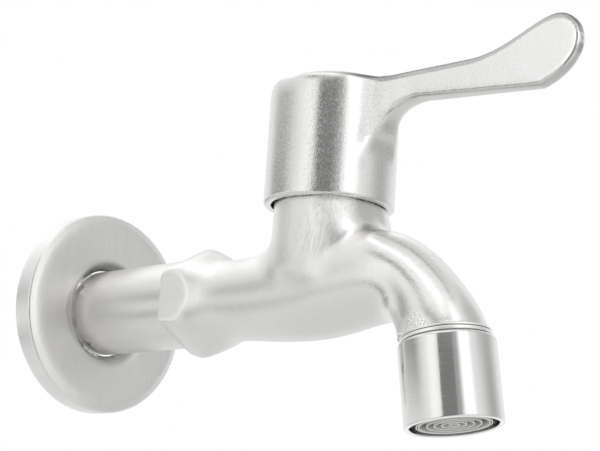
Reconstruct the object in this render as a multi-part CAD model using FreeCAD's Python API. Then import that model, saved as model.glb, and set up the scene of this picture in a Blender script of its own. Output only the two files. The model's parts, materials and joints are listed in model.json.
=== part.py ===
import FreeCAD
import Part
import math
import os

# Wall-mounted washing machine tap: a cast body on a threaded inlet nipple, a loose
# wall flange, a quarter turn ceramic cartridge under a lever handle, and an aerator.
# Millimetres. The origin is on the inlet axis in the plane of the wall, +X points
# out of the wall and +Z up.

# Inlet nipple, a half inch pipe thread
PIPE_RADIUS = 10.53
PIPE_BORE_RADIUS = 7.0
PIPE_DEPTH = 16.0
PIPE_END_CHAMFER = 0.8
THREAD_RADIUS = 10.36
THREAD_PITCH = 1.814
THREAD_DEPTH = 1.162
THREAD_CREST = 0.32
THREAD_TURNS = 10
BOSS_DISTANCE = 35.6
BOSS_SOCKET_DEPTH = 10.0
THREAD_SEAL = 0.02

# Wall flange, a pressed cup with a rolled collar round its hole
FLANGE_RADIUS = 25.2
FLANGE_DEPTH = 6.0
FLANGE_SHEET = 0.9
FLANGE_EDGE_ROUND = 1.3
COLLAR_BEAD_RADIUS = 1.5
COLLAR_CLEARANCE = 0.3
COLLAR_FOOT_ROUND = 0.8
COLLAR_LIP = 0.8

# Casting: boss with wrench flats, waist, belly under the handle, and spout
BOSS_ACROSS_FLATS = 22.0
BOSS_END_RADIUS = 12.45
BOSS_CROWN_RADIUS = 12.65
BOSS_LENGTH = 13.5
WAIST_RADIUS = 9.65
WAIST_DROP = 0.4
BOSS_DROP = 0.35
BELLY_RADIUS = 11.05
SPOUT_ROOT_RADIUS = 10.65
SPOUT_BEND_RADIUS = 9.9
SPOUT_THROAT_RADIUS = 8.65
SPOUT_END_RADIUS = 9.6
SPOUT_END_OFFSET = 0.85
BODY_LENGTH = 42.55
NECK_RADIUS = 12.4
NECK_TOP = 23.2
NECK_FOOT_ROUND = 6.0
NECK_FOOT_LEVEL = -2.0
NECK_FILLET = 6.0
NECK_JOINT_REACH = 2.2
SEAT_LEVEL = 2.5
SEAT_PORT_RADIUS = 5.0
SEAT_WALL = 2.1
INLET_PASSAGE_RADIUS = 4.4
INLET_FUNNEL_LENGTH = 6.0
OUTLET_PORT_RADIUS = 3.6
OUTLET_RISE = 3.0
CASTING_WALL = 2.4
MOUTH_WALL = 3.1

# Mouth of the spout, where the water leaves
SPOUT_REACH = 38.05
MOUTH_DROP = 31.7
MOUTH_TILT = 9.5
SHELL_RADIUS = 10.37
SHELL_LENGTH = 18.0
SHELL_MOUTH_RADIUS = 9.04
SHELL_LIP = 1.3
SHELL_LIP_RADIUS = 8.73
SHELL_WALL = 1.25
SHELL_SHOULDER_ROUND = 0.9
SHELL_EDGE_ROUND = 0.7
COLLAR_RING_RADIUS = 9.65
COLLAR_RING_HEIGHT = 0.9
COLLAR_RING_GROOVE = 0.25
SPIGOT_LENGTH = 7.0
SPIGOT_PITCH = 1.0
SPIGOT_TURNS = 5
SPIGOT_THREAD_DEPTH = 0.55
SPIGOT_THREAD_CREST = 0.17
SPIGOT_BORE_RADIUS = 7.0
SPIGOT_CLEARANCE = 0.05
AERATOR_WASHER_HEIGHT = 1.6
AERATOR_RECESS = 0.5
AERATOR_SIDE_GAP = 0.1
GRILLE_HEIGHT = 1.2
GRILLE_RING_COUNT = 5
GRILLE_RING_WIDTH = 0.55
GRILLE_SPOKE_WIDTH = 0.8
GRILLE_SPOKE_HEIGHT = 0.6
GRILLE_SPOKE_COUNT = 4
CAGE_WALL = 1.0
SCREEN_THICKNESS = 0.3
SCREEN_SPACING = 0.9
SCREEN_HOLE_RADIUS = 0.45
SCREEN_HOLE_ROWS = 4
DIFFUSER_HEIGHT = 1.4
DIFFUSER_HOLE_RADIUS = 0.5
DIFFUSER_HOLE_ROWS = 2
HOLES_PER_ROW = 6
ROW_TWIST = 10.0
ROW_EDGE_SHARE = 0.6

# Ceramic cartridge, from the seat upwards
CARTRIDGE_THREAD_RADIUS = 10.3
CARTRIDGE_THREAD_LENGTH = 10.0
CARTRIDGE_THREAD_CHAMFER = 0.6
CARTRIDGE_BODY_RADIUS = 8.6
CARTRIDGE_SOCKET_RADIUS = 7.4
CARTRIDGE_LIFT = 0.8
DRIVER_NOTCH_HEIGHT = 3.0
WINDOW_RISE = 2.0
GASKET_THICKNESS = 1.0
GASKET_INNER_RADIUS = 10.45
SHOULDER_RADIUS = 12.0
SHOULDER_HEIGHT = 1.5
CARTRIDGE_HEX = 20.0
HEX_HEIGHT = 5.0
NECK_THREAD_CLEARANCE = 0.05
SEAL_HEIGHT = 2.0
SEAL_OUTER_RADIUS = 7.0
DISC_RADIUS = 7.1
FIXED_DISC_HEIGHT = 3.2
MOVING_DISC_HEIGHT = 2.8
DISC_PORT_INNER = 1.6
DISC_PORT_OUTER = 5.4
DISC_PORT_ANGLE = 75.0
FACE_PLAY = 0.02
DRIVER_HEIGHT = 6.0
DRIVER_RADIUS = 7.2
WINDOW_ANGLE = 70.0

# Spindle and what sits on it
SPINDLE_RADIUS = 4.45
SPINDLE_CLEARANCE = 0.05
SPINDLE_REACH = 11.5
SPLINE_RADIUS = 4.0
SPLINE_DEPTH = 0.45
SPLINE_TEETH = 20
SPLINE_CREST_SHARE = 0.4
SPLINE_ROOT_SHARE = 0.2
O_RING_SECTION = 0.7
O_RING_SPACING = 4.0
GLIDE_WASHER_RADIUS = 7.5
GLIDE_WASHER_THICKNESS = 0.6
CIRCLIP_THICKNESS = 0.8
CIRCLIP_RADIUS = 6.0
CIRCLIP_GROOVE_DEPTH = 0.9
CIRCLIP_GAP_ANGLE = 60.0

# Handle: cap and lever, its splined adaptor and its two screws
CAP_RADIUS = 14.85
CAP_OVERLAP = 4.64
CAP_HEIGHT = 28.84
CAP_RIM_RADIUS = 13.15
CAP_EDGE_ROUND = 1.0
CAP_RIM_ROUND = 0.7
CAP_SHROUD_HEIGHT = 14.0
ADAPTOR_RADIUS = 7.4
ADAPTOR_CLEARANCE = 0.05
SCREW_RADIUS = 2.0
SCREW_HEAD_RADIUS = 3.6
SCREW_HEAD_HEIGHT = 2.2
SCREW_LENGTH = 9.0
SCREW_SLOT_WIDTH = 0.9
SCREW_SLOT_DEPTH = 1.0
GRUB_RADIUS = 2.5
GRUB_LENGTH = 6.0
GRUB_SOCKET = 2.5
GRUB_SOCKET_DEPTH = 2.5
GRUB_BITE = 0.4
LEVER_REACH = 66.3
LEVER_NECK_THICKNESS = 5.4
LEVER_TIP_THICKNESS = 3.0
LEVER_TOP_STEP = 0.55
LEVER_ROOT_DROP = 6.95
LEVER_CORNER_DROP = 9.65
LEVER_CROWN_RISE = 5.65
LEVER_CORNER_SETBACK = 9.6
LEVER_CROWN_SETBACK = 5.6
LEVER_RISE_SETBACK = 27.5
LEVER_TIP_DROP = 0.6
LEVER_WEB_RADIUS = 11.0
LEVER_SIDE_RADIUS = 10.0
LEVER_EDGE_ROUND = 0.8

# How far a cutting tool passes beyond what it cuts
OVERCUT = 1.0

# Places along the inlet axis and up the handle axis
HANDLE_AXIS_X = BOSS_DISTANCE + BODY_LENGTH
MOUTH_REACH = HANDLE_AXIS_X + SPOUT_REACH
CAP_BOTTOM = NECK_TOP - CAP_OVERLAP
CAP_TOP = CAP_BOTTOM + CAP_HEIGHT
LEVER_TOP = CAP_TOP - LEVER_TOP_STEP
LEVER_ROOT_LEVEL = CAP_TOP - LEVER_ROOT_DROP
LEVER_CORNER_LEVEL = CAP_TOP - LEVER_CORNER_DROP
LEVER_PADDLE_TOP = CAP_TOP + LEVER_CROWN_RISE
LEVER_TIP_LEVEL = CAP_TOP - LEVER_TIP_DROP

ALONG_X = FreeCAD.Vector(1, 0, 0)
ALONG_Y = FreeCAD.Vector(0, 1, 0)
ALONG_Z = FreeCAD.Vector(0, 0, 1)
WALL_CENTRE = FreeCAD.Vector(0, 0, 0)
HANDLE_AXIS = FreeCAD.Vector(HANDLE_AXIS_X, 0, 0)

# Levels up the handle axis that several pieces share
NECK_THREAD_RADIUS = CARTRIDGE_THREAD_RADIUS + NECK_THREAD_CLEARANCE
SHOULDER_LEVEL = NECK_TOP + GASKET_THICKNESS
HEX_LEVEL = SHOULDER_LEVEL + SHOULDER_HEIGHT
HOUSING_TOP = HEX_LEVEL + HEX_HEIGHT
FIXED_DISC_LEVEL = SEAT_LEVEL + SEAL_HEIGHT
MOVING_DISC_LEVEL = FIXED_DISC_LEVEL + FIXED_DISC_HEIGHT + FACE_PLAY
DRIVER_LEVEL = MOVING_DISC_LEVEL + MOVING_DISC_HEIGHT
SOCKET_TOP = DRIVER_LEVEL + DRIVER_HEIGHT + FACE_PLAY
WASHER_LEVEL = HOUSING_TOP + FACE_PLAY
CIRCLIP_LEVEL = WASHER_LEVEL + GLIDE_WASHER_THICKNESS
SPLINE_LEVEL = CIRCLIP_LEVEL + CIRCLIP_THICKNESS + CIRCLIP_THICKNESS
SPINDLE_TOP = HOUSING_TOP + SPINDLE_REACH
ADAPTOR_TOP = SPINDLE_TOP + FACE_PLAY
ADAPTOR_LEVEL = SPLINE_LEVEL + FACE_PLAY
SHROUD_TOP = CAP_BOTTOM + CAP_SHROUD_HEIGHT
THREAD_ROOT_RADIUS = THREAD_RADIUS - THREAD_DEPTH

# Levels up the mouth axis, measured from the mouth
RING_LEVEL = SHELL_LENGTH
CASTING_LEVEL = RING_LEVEL + COLLAR_RING_HEIGHT
SPIGOT_LEVEL = SHELL_LENGTH - SPIGOT_LENGTH
SHELL_BORE_RADIUS = SHELL_RADIUS - SHELL_WALL
SPIGOT_RADIUS = SHELL_BORE_RADIUS - SPIGOT_CLEARANCE
INSERT_RADIUS = SHELL_BORE_RADIUS - AERATOR_SIDE_GAP
GRILLE_LEVEL = SHELL_LIP
CAGE_LEVEL = GRILLE_LEVEL + GRILLE_HEIGHT
CAGE_TOP = SPIGOT_LEVEL - AERATOR_WASHER_HEIGHT
CAGE_BORE_RADIUS = INSERT_RADIUS - CAGE_WALL


# Round sections of the casting. Boss: share of its length, drop of its centre, radius.
BOSS_SECTIONS = (
    (0.0, BOSS_DROP, BOSS_END_RADIUS),
    (0.17, BOSS_DROP, BOSS_CROWN_RADIUS),
    (0.52, WAIST_DROP, 0.7 * BOSS_CROWN_RADIUS + 0.33 * WAIST_RADIUS),
    (0.80, WAIST_DROP, 0.44 * BOSS_CROWN_RADIUS + 0.52 * WAIST_RADIUS),
)
# Waist: share of the way to the handle axis, share of the swelling towards the belly.
WAIST_SECTIONS = ((0.07, 0.0), (0.30, 0.15), (0.64, 0.7))
# Spout: share of the way out, share of the way down (a little up first), radius.
SPOUT_ROOT = (0.345, -0.10, SPOUT_ROOT_RADIUS)
SPOUT_BEND = (0.568, -0.08, SPOUT_BEND_RADIUS)
SPOUT_THROAT = (0.750, 0.131, SPOUT_THROAT_RADIUS)
SPOUT_DROP = (0.900, 0.503, SPOUT_THROAT_RADIUS)
SPOUT_END = (1.0, 1.0, SPOUT_END_RADIUS)
SPOUT_SECTIONS = (
    (0.075, -0.02, BELLY_RADIUS),
    SPOUT_ROOT,
    SPOUT_BEND,
    SPOUT_THROAT,
    SPOUT_DROP,
    SPOUT_END,
    (1.025, 1.15, SPOUT_END_RADIUS),
)

# Leans of the lever's curves: at the start and at the end, as shares of their box.
UNDERSIDE_LEANS = ((0.47, 0.12), (1.0, 0.5))
TIP_LEANS = ((0.0, 0.55), (0.45, 1.0))
RISE_LEANS = ((0.25, 0.0), (0.55, 1.0))


def on_circle(centre_u, centre_v, radius, degrees):
    """A point of a circle drawn in a flat outline."""
    turn = math.radians(degrees)
    return (centre_u + radius * math.cos(turn), centre_v + radius * math.sin(turn))


def outline_face(spots, place):
    """A closed face: each spot is a corner, or an arc's middle followed by its end."""
    edges = []
    here = place(*spots[0])
    for spot in spots[1:] + [spots[0]]:
        there = place(*spot[-2:])
        if len(spot) == 4:
            edges.append(Part.Arc(here, place(*spot[:2]), there).toShape())
        elif here.distanceToPoint(there) > 1e-6:
            edges.append(Part.LineSegment(here, there).toShape())
        here = there
    return Part.Face(Part.Wire(edges))


def turned_about_inlet(spots):
    """A turned piece on the inlet axis, from spots of distance from the wall and radius."""
    face = outline_face(spots, lambda along, out: FreeCAD.Vector(along, 0, out))
    return face.revolve(WALL_CENTRE, ALONG_X, 360)


def turned_about_handle(spots):
    """A turned piece on the handle axis, from spots of radius and height."""
    face = outline_face(spots, lambda out, up: FreeCAD.Vector(HANDLE_AXIS_X + out, 0, up))
    return face.revolve(HANDLE_AXIS, ALONG_Z, 360)


def turned_about_mouth(spots):
    """A turned piece on an upright mouth axis, from spots of radius and height."""
    face = outline_face(spots, lambda out, up: FreeCAD.Vector(out, 0, up))
    return face.revolve(WALL_CENTRE, ALONG_Z, 360)


def tube(outer, inner, low, high):
    """Spots of a plain ring or sleeve."""
    return [(inner, low), (outer, low), (outer, high), (inner, high)]


def handle_rod(radius, low, high):
    """A plain cylinder on the handle axis."""
    foot = FreeCAD.Vector(HANDLE_AXIS_X, 0, low)
    return Part.makeCylinder(radius, high - low, foot, ALONG_Z)


def at_mouth(shape):
    """Carry a piece from the upright mouth axis to its tilted place under the spout."""
    placed = shape.copy()
    placed.rotate(WALL_CENTRE, ALONG_Y, -MOUTH_TILT)
    placed.translate(FreeCAD.Vector(MOUTH_REACH, 0, -MOUTH_DROP))
    return placed


def mouth_point(sideways, up):
    """A point of the mouth's frame, given in the tap's frame, as distance and height."""
    tilt = math.radians(MOUTH_TILT)
    reach = MOUTH_REACH + sideways * math.cos(tilt) - up * math.sin(tilt)
    height = -MOUTH_DROP + sideways * math.sin(tilt) + up * math.cos(tilt)
    return (reach, height)


def circle_edges(shape, radius, along, level):
    """The edges of one circle of a turned shape, found by radius and by place on its axis."""
    found = []
    for edge in shape.Edges:
        if edge.Curve.TypeId != "Part::GeomCircle":
            continue
        same_radius = abs(edge.Curve.Radius - radius) < 1e-4
        same_level = abs(edge.Curve.Center.dot(along) - level) < 1e-4
        if same_radius and same_level:
            found.append(edge)
    return found


def hexagon_prism(across_flats, low, height):
    """A hexagonal prism standing on the handle axis."""
    corner = across_flats / 2 / math.cos(math.radians(30))
    corners = []
    for step in range(7):
        u, v = on_circle(HANDLE_AXIS_X, 0, corner, 60 * step + 30)
        corners.append(FreeCAD.Vector(u, v, low))
    return Part.Face(Part.makePolygon(corners)).extrude(ALONG_Z * height)


def thread_ridges(start, turns, pitch, crest_radius, root_radius, crest):
    """Spots of parallel ridges at the true pitch, each with a level crest and root."""
    spots = []
    slope = (pitch - 2 * crest) / 2
    for turn in range(turns):
        begin = start + turn * pitch
        spots.append((begin, crest_radius))
        spots.append((begin + crest, crest_radius))
        spots.append((begin + crest + slope, root_radius))
        spots.append((begin + 2 * crest + slope, root_radius))
    end = start + turns * pitch
    spots.append((end, crest_radius))
    spots.append((end + crest, crest_radius))
    return spots


def inlet_nipple():
    """The threaded pipe that goes into the wall and carries the casting."""
    inner_end = BOSS_DISTANCE + BOSS_SOCKET_DEPTH
    ridges = thread_ridges(
        PIPE_END_CHAMFER - PIPE_DEPTH,
        THREAD_TURNS,
        THREAD_PITCH,
        THREAD_RADIUS,
        THREAD_ROOT_RADIUS,
        THREAD_CREST,
    )
    spots = [(-PIPE_DEPTH, PIPE_BORE_RADIUS), (-PIPE_DEPTH, THREAD_ROOT_RADIUS)]
    spots += ridges
    spots.append((ridges[-1][0], PIPE_RADIUS))
    spots.append((inner_end, PIPE_RADIUS))
    spots.append((inner_end, PIPE_BORE_RADIUS))
    return turned_about_inlet(spots)


def wall_flange():
    """The pressed cup that hides the hole in the wall, loose on the pipe."""
    hole = PIPE_RADIUS + COLLAR_CLEARANCE
    crest = hole + COLLAR_BEAD_RADIUS
    foot = crest + COLLAR_BEAD_RADIUS
    rim = FLANGE_RADIUS
    front = FLANGE_DEPTH
    back = front - FLANGE_SHEET
    bend = FLANGE_EDGE_ROUND
    inside_bend = bend - FLANGE_SHEET
    inside_bead = COLLAR_BEAD_RADIUS - FLANGE_SHEET
    spots = [
        (0, rim),
        (front - bend, rim),
        on_circle(front - bend, rim - bend, bend, 45) + (front, rim - bend),
        (front, foot),
        (front + COLLAR_BEAD_RADIUS, crest, front, hole),
        (front - COLLAR_LIP, hole),
        (front - COLLAR_LIP, hole + FLANGE_SHEET),
        (front, hole + FLANGE_SHEET),
        (front + inside_bead, crest, front, foot - FLANGE_SHEET),
        (back, foot - FLANGE_SHEET),
        (back, rim - bend),
        on_circle(front - bend, rim - bend, inside_bend, 45) + (front - bend, rim - FLANGE_SHEET),
        (0, rim - FLANGE_SHEET),
    ]
    cup = turned_about_inlet(spots)
    return cup.makeFillet(COLLAR_FOOT_ROUND, circle_edges(cup, foot, ALONG_X, front))


def casting_stations():
    """Centre distance, centre height and radius of each round section of the casting."""
    waist = BOSS_DISTANCE + BOSS_LENGTH
    stations = []
    for share, drop, radius in BOSS_SECTIONS:
        stations.append((BOSS_DISTANCE + share * BOSS_LENGTH, -drop, radius))
    for share, swell in WAIST_SECTIONS:
        radius = WAIST_RADIUS + swell * (BELLY_RADIUS - WAIST_RADIUS)
        stations.append((waist + share * (HANDLE_AXIS_X - waist), -WAIST_DROP, radius))
    for section in SPOUT_SECTIONS:
        stations.append(spout_station(section) + (section[2],))
    return stations


def round_loft(stations):
    """A smooth solid through round sections, each square to the line of the centres."""
    rings = []
    last = len(stations) - 1
    for index, (reach, height, radius) in enumerate(stations):
        before = stations[max(index - 1, 0)]
        after = stations[min(index + 1, last)]
        heading = FreeCAD.Vector(after[0] - before[0], 0, after[1] - before[1])
        centre = FreeCAD.Vector(reach, 0, height)
        rings.append(Part.Wire([Part.Circle(centre, heading, radius).toShape()]))
    return Part.makeLoft(rings, True, False)


def neck_blank():
    """The upright neck with its rounded foot inside the belly."""
    foot = NECK_FOOT_ROUND
    level = NECK_FOOT_LEVEL
    inner = NECK_RADIUS - foot
    spots = [
        (0, level),
        (inner, level),
        on_circle(inner, level + foot, foot, -45) + (NECK_RADIUS, level + foot),
        (NECK_RADIUS, NECK_TOP),
        (0, NECK_TOP),
    ]
    return turned_about_handle(spots)


def neck_joint_edges(shape):
    """The curves where the neck meets the casting's round sections."""
    found = []
    for edge in shape.Edges:
        if edge.Curve.TypeId != "Part::GeomBSplineCurve":
            continue
        middle = edge.valueAt((edge.FirstParameter + edge.LastParameter) / 2)
        away = math.hypot(middle.x - HANDLE_AXIS_X, middle.y)
        if abs(away - NECK_RADIUS) < NECK_JOINT_REACH and middle.z > NECK_FOOT_LEVEL:
            found.append(edge)
    return found


def wrench_flats():
    """The six blocks that cut the boss to its across-flats size."""
    blocks = []
    width = 4 * BOSS_CROWN_RADIUS
    for side in range(6):
        corner = FreeCAD.Vector(BOSS_DISTANCE - OVERCUT, BOSS_ACROSS_FLATS / 2, -width / 2)
        block = Part.makeBox(BOSS_LENGTH + OVERCUT, width, width, corner)
        block.rotate(WALL_CENTRE, ALONG_X, 60 * side)
        blocks.append(block)
    return blocks


def mouth_block():
    """Everything below the plane where the casting is faced for its collar ring."""
    size = 6 * SPOUT_END_RADIUS
    corner = FreeCAD.Vector(-size / 2, -size / 2, CASTING_LEVEL - size)
    return at_mouth(Part.makeBox(size, size, size, corner))


def spigot():
    """The turned ring and threaded spigot that the aerator shell screws on."""
    root = SPIGOT_RADIUS - SPIGOT_THREAD_DEPTH
    groove = COLLAR_RING_RADIUS - COLLAR_RING_GROOVE
    middle = (RING_LEVEL + CASTING_LEVEL) / 2
    thread = thread_ridges(
        SPIGOT_LEVEL + COLLAR_RING_GROOVE,
        SPIGOT_TURNS,
        SPIGOT_PITCH,
        SPIGOT_RADIUS,
        root,
        SPIGOT_THREAD_CREST,
    )
    spots = [(0, SPIGOT_LEVEL), (root, SPIGOT_LEVEL)]
    spots += [(radius, level) for level, radius in thread]
    spots += [
        (SPIGOT_RADIUS, RING_LEVEL - COLLAR_RING_GROOVE),
        (root, RING_LEVEL - COLLAR_RING_GROOVE),
        (root, RING_LEVEL + FACE_PLAY),
        (COLLAR_RING_RADIUS, RING_LEVEL + FACE_PLAY),
        (COLLAR_RING_RADIUS, middle),
        (groove, middle),
        (groove, CASTING_LEVEL + COLLAR_RING_GROOVE),
        (0, CASTING_LEVEL + COLLAR_RING_GROOVE),
    ]
    return at_mouth(turned_about_mouth(spots))


def spout_station(section):
    """Centre distance and height of one of the spout's round sections."""
    end_x, end_z = mouth_point(-SPOUT_END_OFFSET, CASTING_LEVEL)
    return (HANDLE_AXIS_X + section[0] * (end_x - HANDLE_AXIS_X), section[1] * end_z)


def inlet_passage():
    """The socket for the nipple and the passage that drops below the seat."""
    funnel_start = BOSS_DISTANCE + BOSS_SOCKET_DEPTH
    funnel_end = funnel_start + INLET_FUNNEL_LENGTH
    level = SEAT_LEVEL - SEAT_WALL - INLET_PASSAGE_RADIUS
    socket = Part.makeCylinder(
        PIPE_RADIUS + THREAD_SEAL,
        BOSS_SOCKET_DEPTH + OVERCUT,
        FreeCAD.Vector(BOSS_DISTANCE - OVERCUT, 0, 0),
        ALONG_X,
    )
    passage = round_loft(
        [
            (funnel_start - FACE_PLAY, 0, PIPE_BORE_RADIUS),
            (funnel_end, level / 2, (PIPE_BORE_RADIUS + INLET_PASSAGE_RADIUS) / 2),
            (funnel_end + INLET_FUNNEL_LENGTH, level, INLET_PASSAGE_RADIUS),
            (HANDLE_AXIS_X, level, INLET_PASSAGE_RADIUS),
        ]
    )
    port = handle_rod(SEAT_PORT_RADIUS, level - INLET_PASSAGE_RADIUS / 2, SEAT_LEVEL)
    return [socket, passage, port]


def outlet_passage():
    """The passage from the chamber round the cartridge to the mouth."""
    level = SEAT_LEVEL + OUTLET_PORT_RADIUS
    root_x, root_z = spout_station(SPOUT_ROOT)
    chamber = handle_rod(NECK_THREAD_RADIUS, SEAT_LEVEL, NECK_TOP + OVERCUT)
    spout = round_loft(
        [
            (HANDLE_AXIS_X + CARTRIDGE_BODY_RADIUS, level, OUTLET_PORT_RADIUS),
            (root_x, root_z + OUTLET_RISE, OUTLET_PORT_RADIUS),
            spout_station(SPOUT_BEND) + (SPOUT_BEND_RADIUS - 2 * CASTING_WALL,),
            spout_station(SPOUT_THROAT) + (SPOUT_THROAT_RADIUS - CASTING_WALL,),
            spout_station(SPOUT_DROP) + (SPOUT_THROAT_RADIUS - CASTING_WALL,),
            spout_station(SPOUT_END) + (SPOUT_END_RADIUS - MOUTH_WALL,),
        ]
    )
    mouth = Part.makeCylinder(
        SPIGOT_BORE_RADIUS,
        CASTING_LEVEL - SPIGOT_LEVEL + 2 * OVERCUT,
        FreeCAD.Vector(0, 0, SPIGOT_LEVEL - OVERCUT),
        ALONG_Z,
    )
    return [chamber, spout, at_mouth(mouth)]


def valve_body():
    """The one-piece casting: boss, belly, neck and spout, machined where pieces fit."""
    blank = round_loft(casting_stations())
    blank = blank.cut(wrench_flats())
    blank = blank.fuse(neck_blank())
    blank = blank.makeFillet(NECK_FILLET, neck_joint_edges(blank))
    blank = blank.cut(mouth_block())
    blank = blank.fuse(spigot())
    return blank.cut(inlet_passage() + outlet_passage())


def neck_gasket():
    """The flat ring between the neck's top and the cartridge's shoulder."""
    return turned_about_handle(tube(SHOULDER_RADIUS, GASKET_INNER_RADIUS, NECK_TOP, SHOULDER_LEVEL))


def sector(inner, outer, low, high, middle, angle):
    """A ring sector on the handle axis, centred on one direction."""
    whole = turned_about_handle(tube(outer, inner, low, high))
    reach = 3 * outer
    corners = [HANDLE_AXIS]
    for step in range(5):
        u, v = on_circle(HANDLE_AXIS_X, 0, reach, middle - angle / 2 + angle * step / 4)
        corners.append(FreeCAD.Vector(u, v, 0))
    corners.append(HANDLE_AXIS)
    wedge = Part.Face(Part.makePolygon(corners)).extrude(ALONG_Z * (high - low))
    wedge.translate(ALONG_Z * low)
    return whole.common(wedge)


def cartridge_housing():
    """The threaded brass housing that holds discs and spindle down on the seat."""
    low = SEAT_LEVEL + CARTRIDGE_LIFT
    thread_top = NECK_TOP - CARTRIDGE_THREAD_CHAMFER
    spots = [
        (CARTRIDGE_SOCKET_RADIUS, low),
        (CARTRIDGE_BODY_RADIUS, low),
        (CARTRIDGE_BODY_RADIUS, thread_top - CARTRIDGE_THREAD_LENGTH),
        (CARTRIDGE_THREAD_RADIUS, thread_top - CARTRIDGE_THREAD_LENGTH + CARTRIDGE_THREAD_CHAMFER),
        (CARTRIDGE_THREAD_RADIUS, SHOULDER_LEVEL),
        (SHOULDER_RADIUS, SHOULDER_LEVEL),
        (SHOULDER_RADIUS, HEX_LEVEL),
        (SPINDLE_RADIUS + SPINDLE_CLEARANCE, HEX_LEVEL),
        (SPINDLE_RADIUS + SPINDLE_CLEARANCE, SOCKET_TOP),
        (CARTRIDGE_SOCKET_RADIUS, SOCKET_TOP),
    ]
    housing = turned_about_handle(spots)
    head = hexagon_prism(CARTRIDGE_HEX, HEX_LEVEL, HEX_HEIGHT)
    bore = SPINDLE_RADIUS + SPINDLE_CLEARANCE
    head = head.cut(handle_rod(bore, HEX_LEVEL - OVERCUT, HOUSING_TOP + OVERCUT))
    windows = []
    for middle in (0, 180):
        windows.append(
            sector(
                CARTRIDGE_SOCKET_RADIUS - OVERCUT,
                CARTRIDGE_BODY_RADIUS + OVERCUT,
                MOVING_DISC_LEVEL,
                DRIVER_LEVEL + WINDOW_RISE,
                middle,
                WINDOW_ANGLE,
            )
        )
    return housing.fuse(head).cut(windows)


def seat_seal():
    """The soft lip ring that the fixed disc presses on the seat."""
    ring = tube(SEAL_OUTER_RADIUS, SEAT_PORT_RADIUS, SEAT_LEVEL, FIXED_DISC_LEVEL)
    return turned_about_handle(ring)


def ceramic_disc(low, height, first_port):
    """A lapped disc with two sector ports opposite each other."""
    disc = handle_rod(DISC_RADIUS, low, low + height)
    ports = []
    for middle in (first_port, first_port + 180):
        ports.append(
            sector(
                DISC_PORT_INNER,
                DISC_PORT_OUTER,
                low - OVERCUT,
                low + height + OVERCUT,
                middle,
                DISC_PORT_ANGLE,
            )
        )
    return disc.cut(ports)


def o_ring_levels():
    """The heights of the two O-rings on the spindle."""
    middle = (SOCKET_TOP + HOUSING_TOP) / 2
    return (middle - O_RING_SPACING / 2, middle + O_RING_SPACING / 2)


def splined_section(radius, depth, low, high):
    """A toothed shaft on the handle axis."""
    crest = SPLINE_CREST_SHARE / 2
    root = SPLINE_ROOT_SHARE / 2
    profile = (
        (-crest, radius),
        (crest, radius),
        (0.5 - root, radius - depth),
        (0.5 + root, radius - depth),
    )
    corners = []
    for tooth in range(SPLINE_TEETH):
        for share, out in profile:
            degrees = 360 * (tooth + share) / SPLINE_TEETH
            u, v = on_circle(HANDLE_AXIS_X, 0, out, degrees)
            corners.append(FreeCAD.Vector(u, v, low))
    corners.append(corners[0])
    return Part.Face(Part.makePolygon(corners)).extrude(ALONG_Z * (high - low))


def spindle():
    """The spindle with its driver, O-ring grooves, circlip groove, spline and tapped end."""
    shaft = handle_rod(SPINDLE_RADIUS, DRIVER_LEVEL, SPLINE_LEVEL)
    driver = handle_rod(DRIVER_RADIUS, DRIVER_LEVEL, DRIVER_LEVEL + DRIVER_HEIGHT)
    spline = splined_section(SPLINE_RADIUS, SPLINE_DEPTH, SPLINE_LEVEL, SPINDLE_TOP)
    body = shaft.fuse(driver).fuse(spline)
    outside = SPINDLE_RADIUS + OVERCUT
    groove_floor = SPINDLE_RADIUS - 2 * O_RING_SECTION
    cuts = [handle_rod(SCREW_RADIUS, SPINDLE_TOP - SCREW_LENGTH, SPINDLE_TOP + OVERCUT)]
    for level in o_ring_levels():
        groove = tube(outside, groove_floor, level - O_RING_SECTION, level + O_RING_SECTION)
        cuts.append(turned_about_handle(groove))
    circlip_floor = SPINDLE_RADIUS - CIRCLIP_GROOVE_DEPTH
    circlip_top = CIRCLIP_LEVEL + CIRCLIP_THICKNESS
    groove = tube(outside, circlip_floor, CIRCLIP_LEVEL, circlip_top)
    cuts.append(turned_about_handle(groove))
    for middle in (0, 180):
        cuts.append(
            sector(
                DISC_PORT_INNER,
                DRIVER_RADIUS + OVERCUT,
                DRIVER_LEVEL - OVERCUT,
                DRIVER_LEVEL + DRIVER_NOTCH_HEIGHT,
                middle,
                DISC_PORT_ANGLE,
            )
        )
    return body.cut(cuts)


def spindle_o_rings():
    """The two O-rings that seal the spindle in the housing."""
    rings = []
    centre_radius = SPINDLE_RADIUS - O_RING_SECTION
    for level in o_ring_levels():
        centre = FreeCAD.Vector(HANDLE_AXIS_X, 0, level)
        rings.append(Part.makeTorus(centre_radius, O_RING_SECTION, centre, ALONG_Z))
    return Part.makeCompound(rings)


def glide_washer():
    """The slippery washer between the housing and the circlip."""
    inner = SPINDLE_RADIUS + SPINDLE_CLEARANCE
    return turned_about_handle(tube(GLIDE_WASHER_RADIUS, inner, WASHER_LEVEL, CIRCLIP_LEVEL))


def spindle_circlip():
    """The open spring ring in the spindle's groove."""
    inner = SPINDLE_RADIUS - CIRCLIP_GROOVE_DEPTH
    top = CIRCLIP_LEVEL + CIRCLIP_THICKNESS
    ring = turned_about_handle(tube(CIRCLIP_RADIUS, inner, CIRCLIP_LEVEL, top))
    gap = sector(
        inner - OVERCUT,
        CIRCLIP_RADIUS + OVERCUT,
        CIRCLIP_LEVEL - OVERCUT,
        top + OVERCUT,
        90,
        CIRCLIP_GAP_ANGLE,
    )
    return ring.cut(gap)


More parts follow.
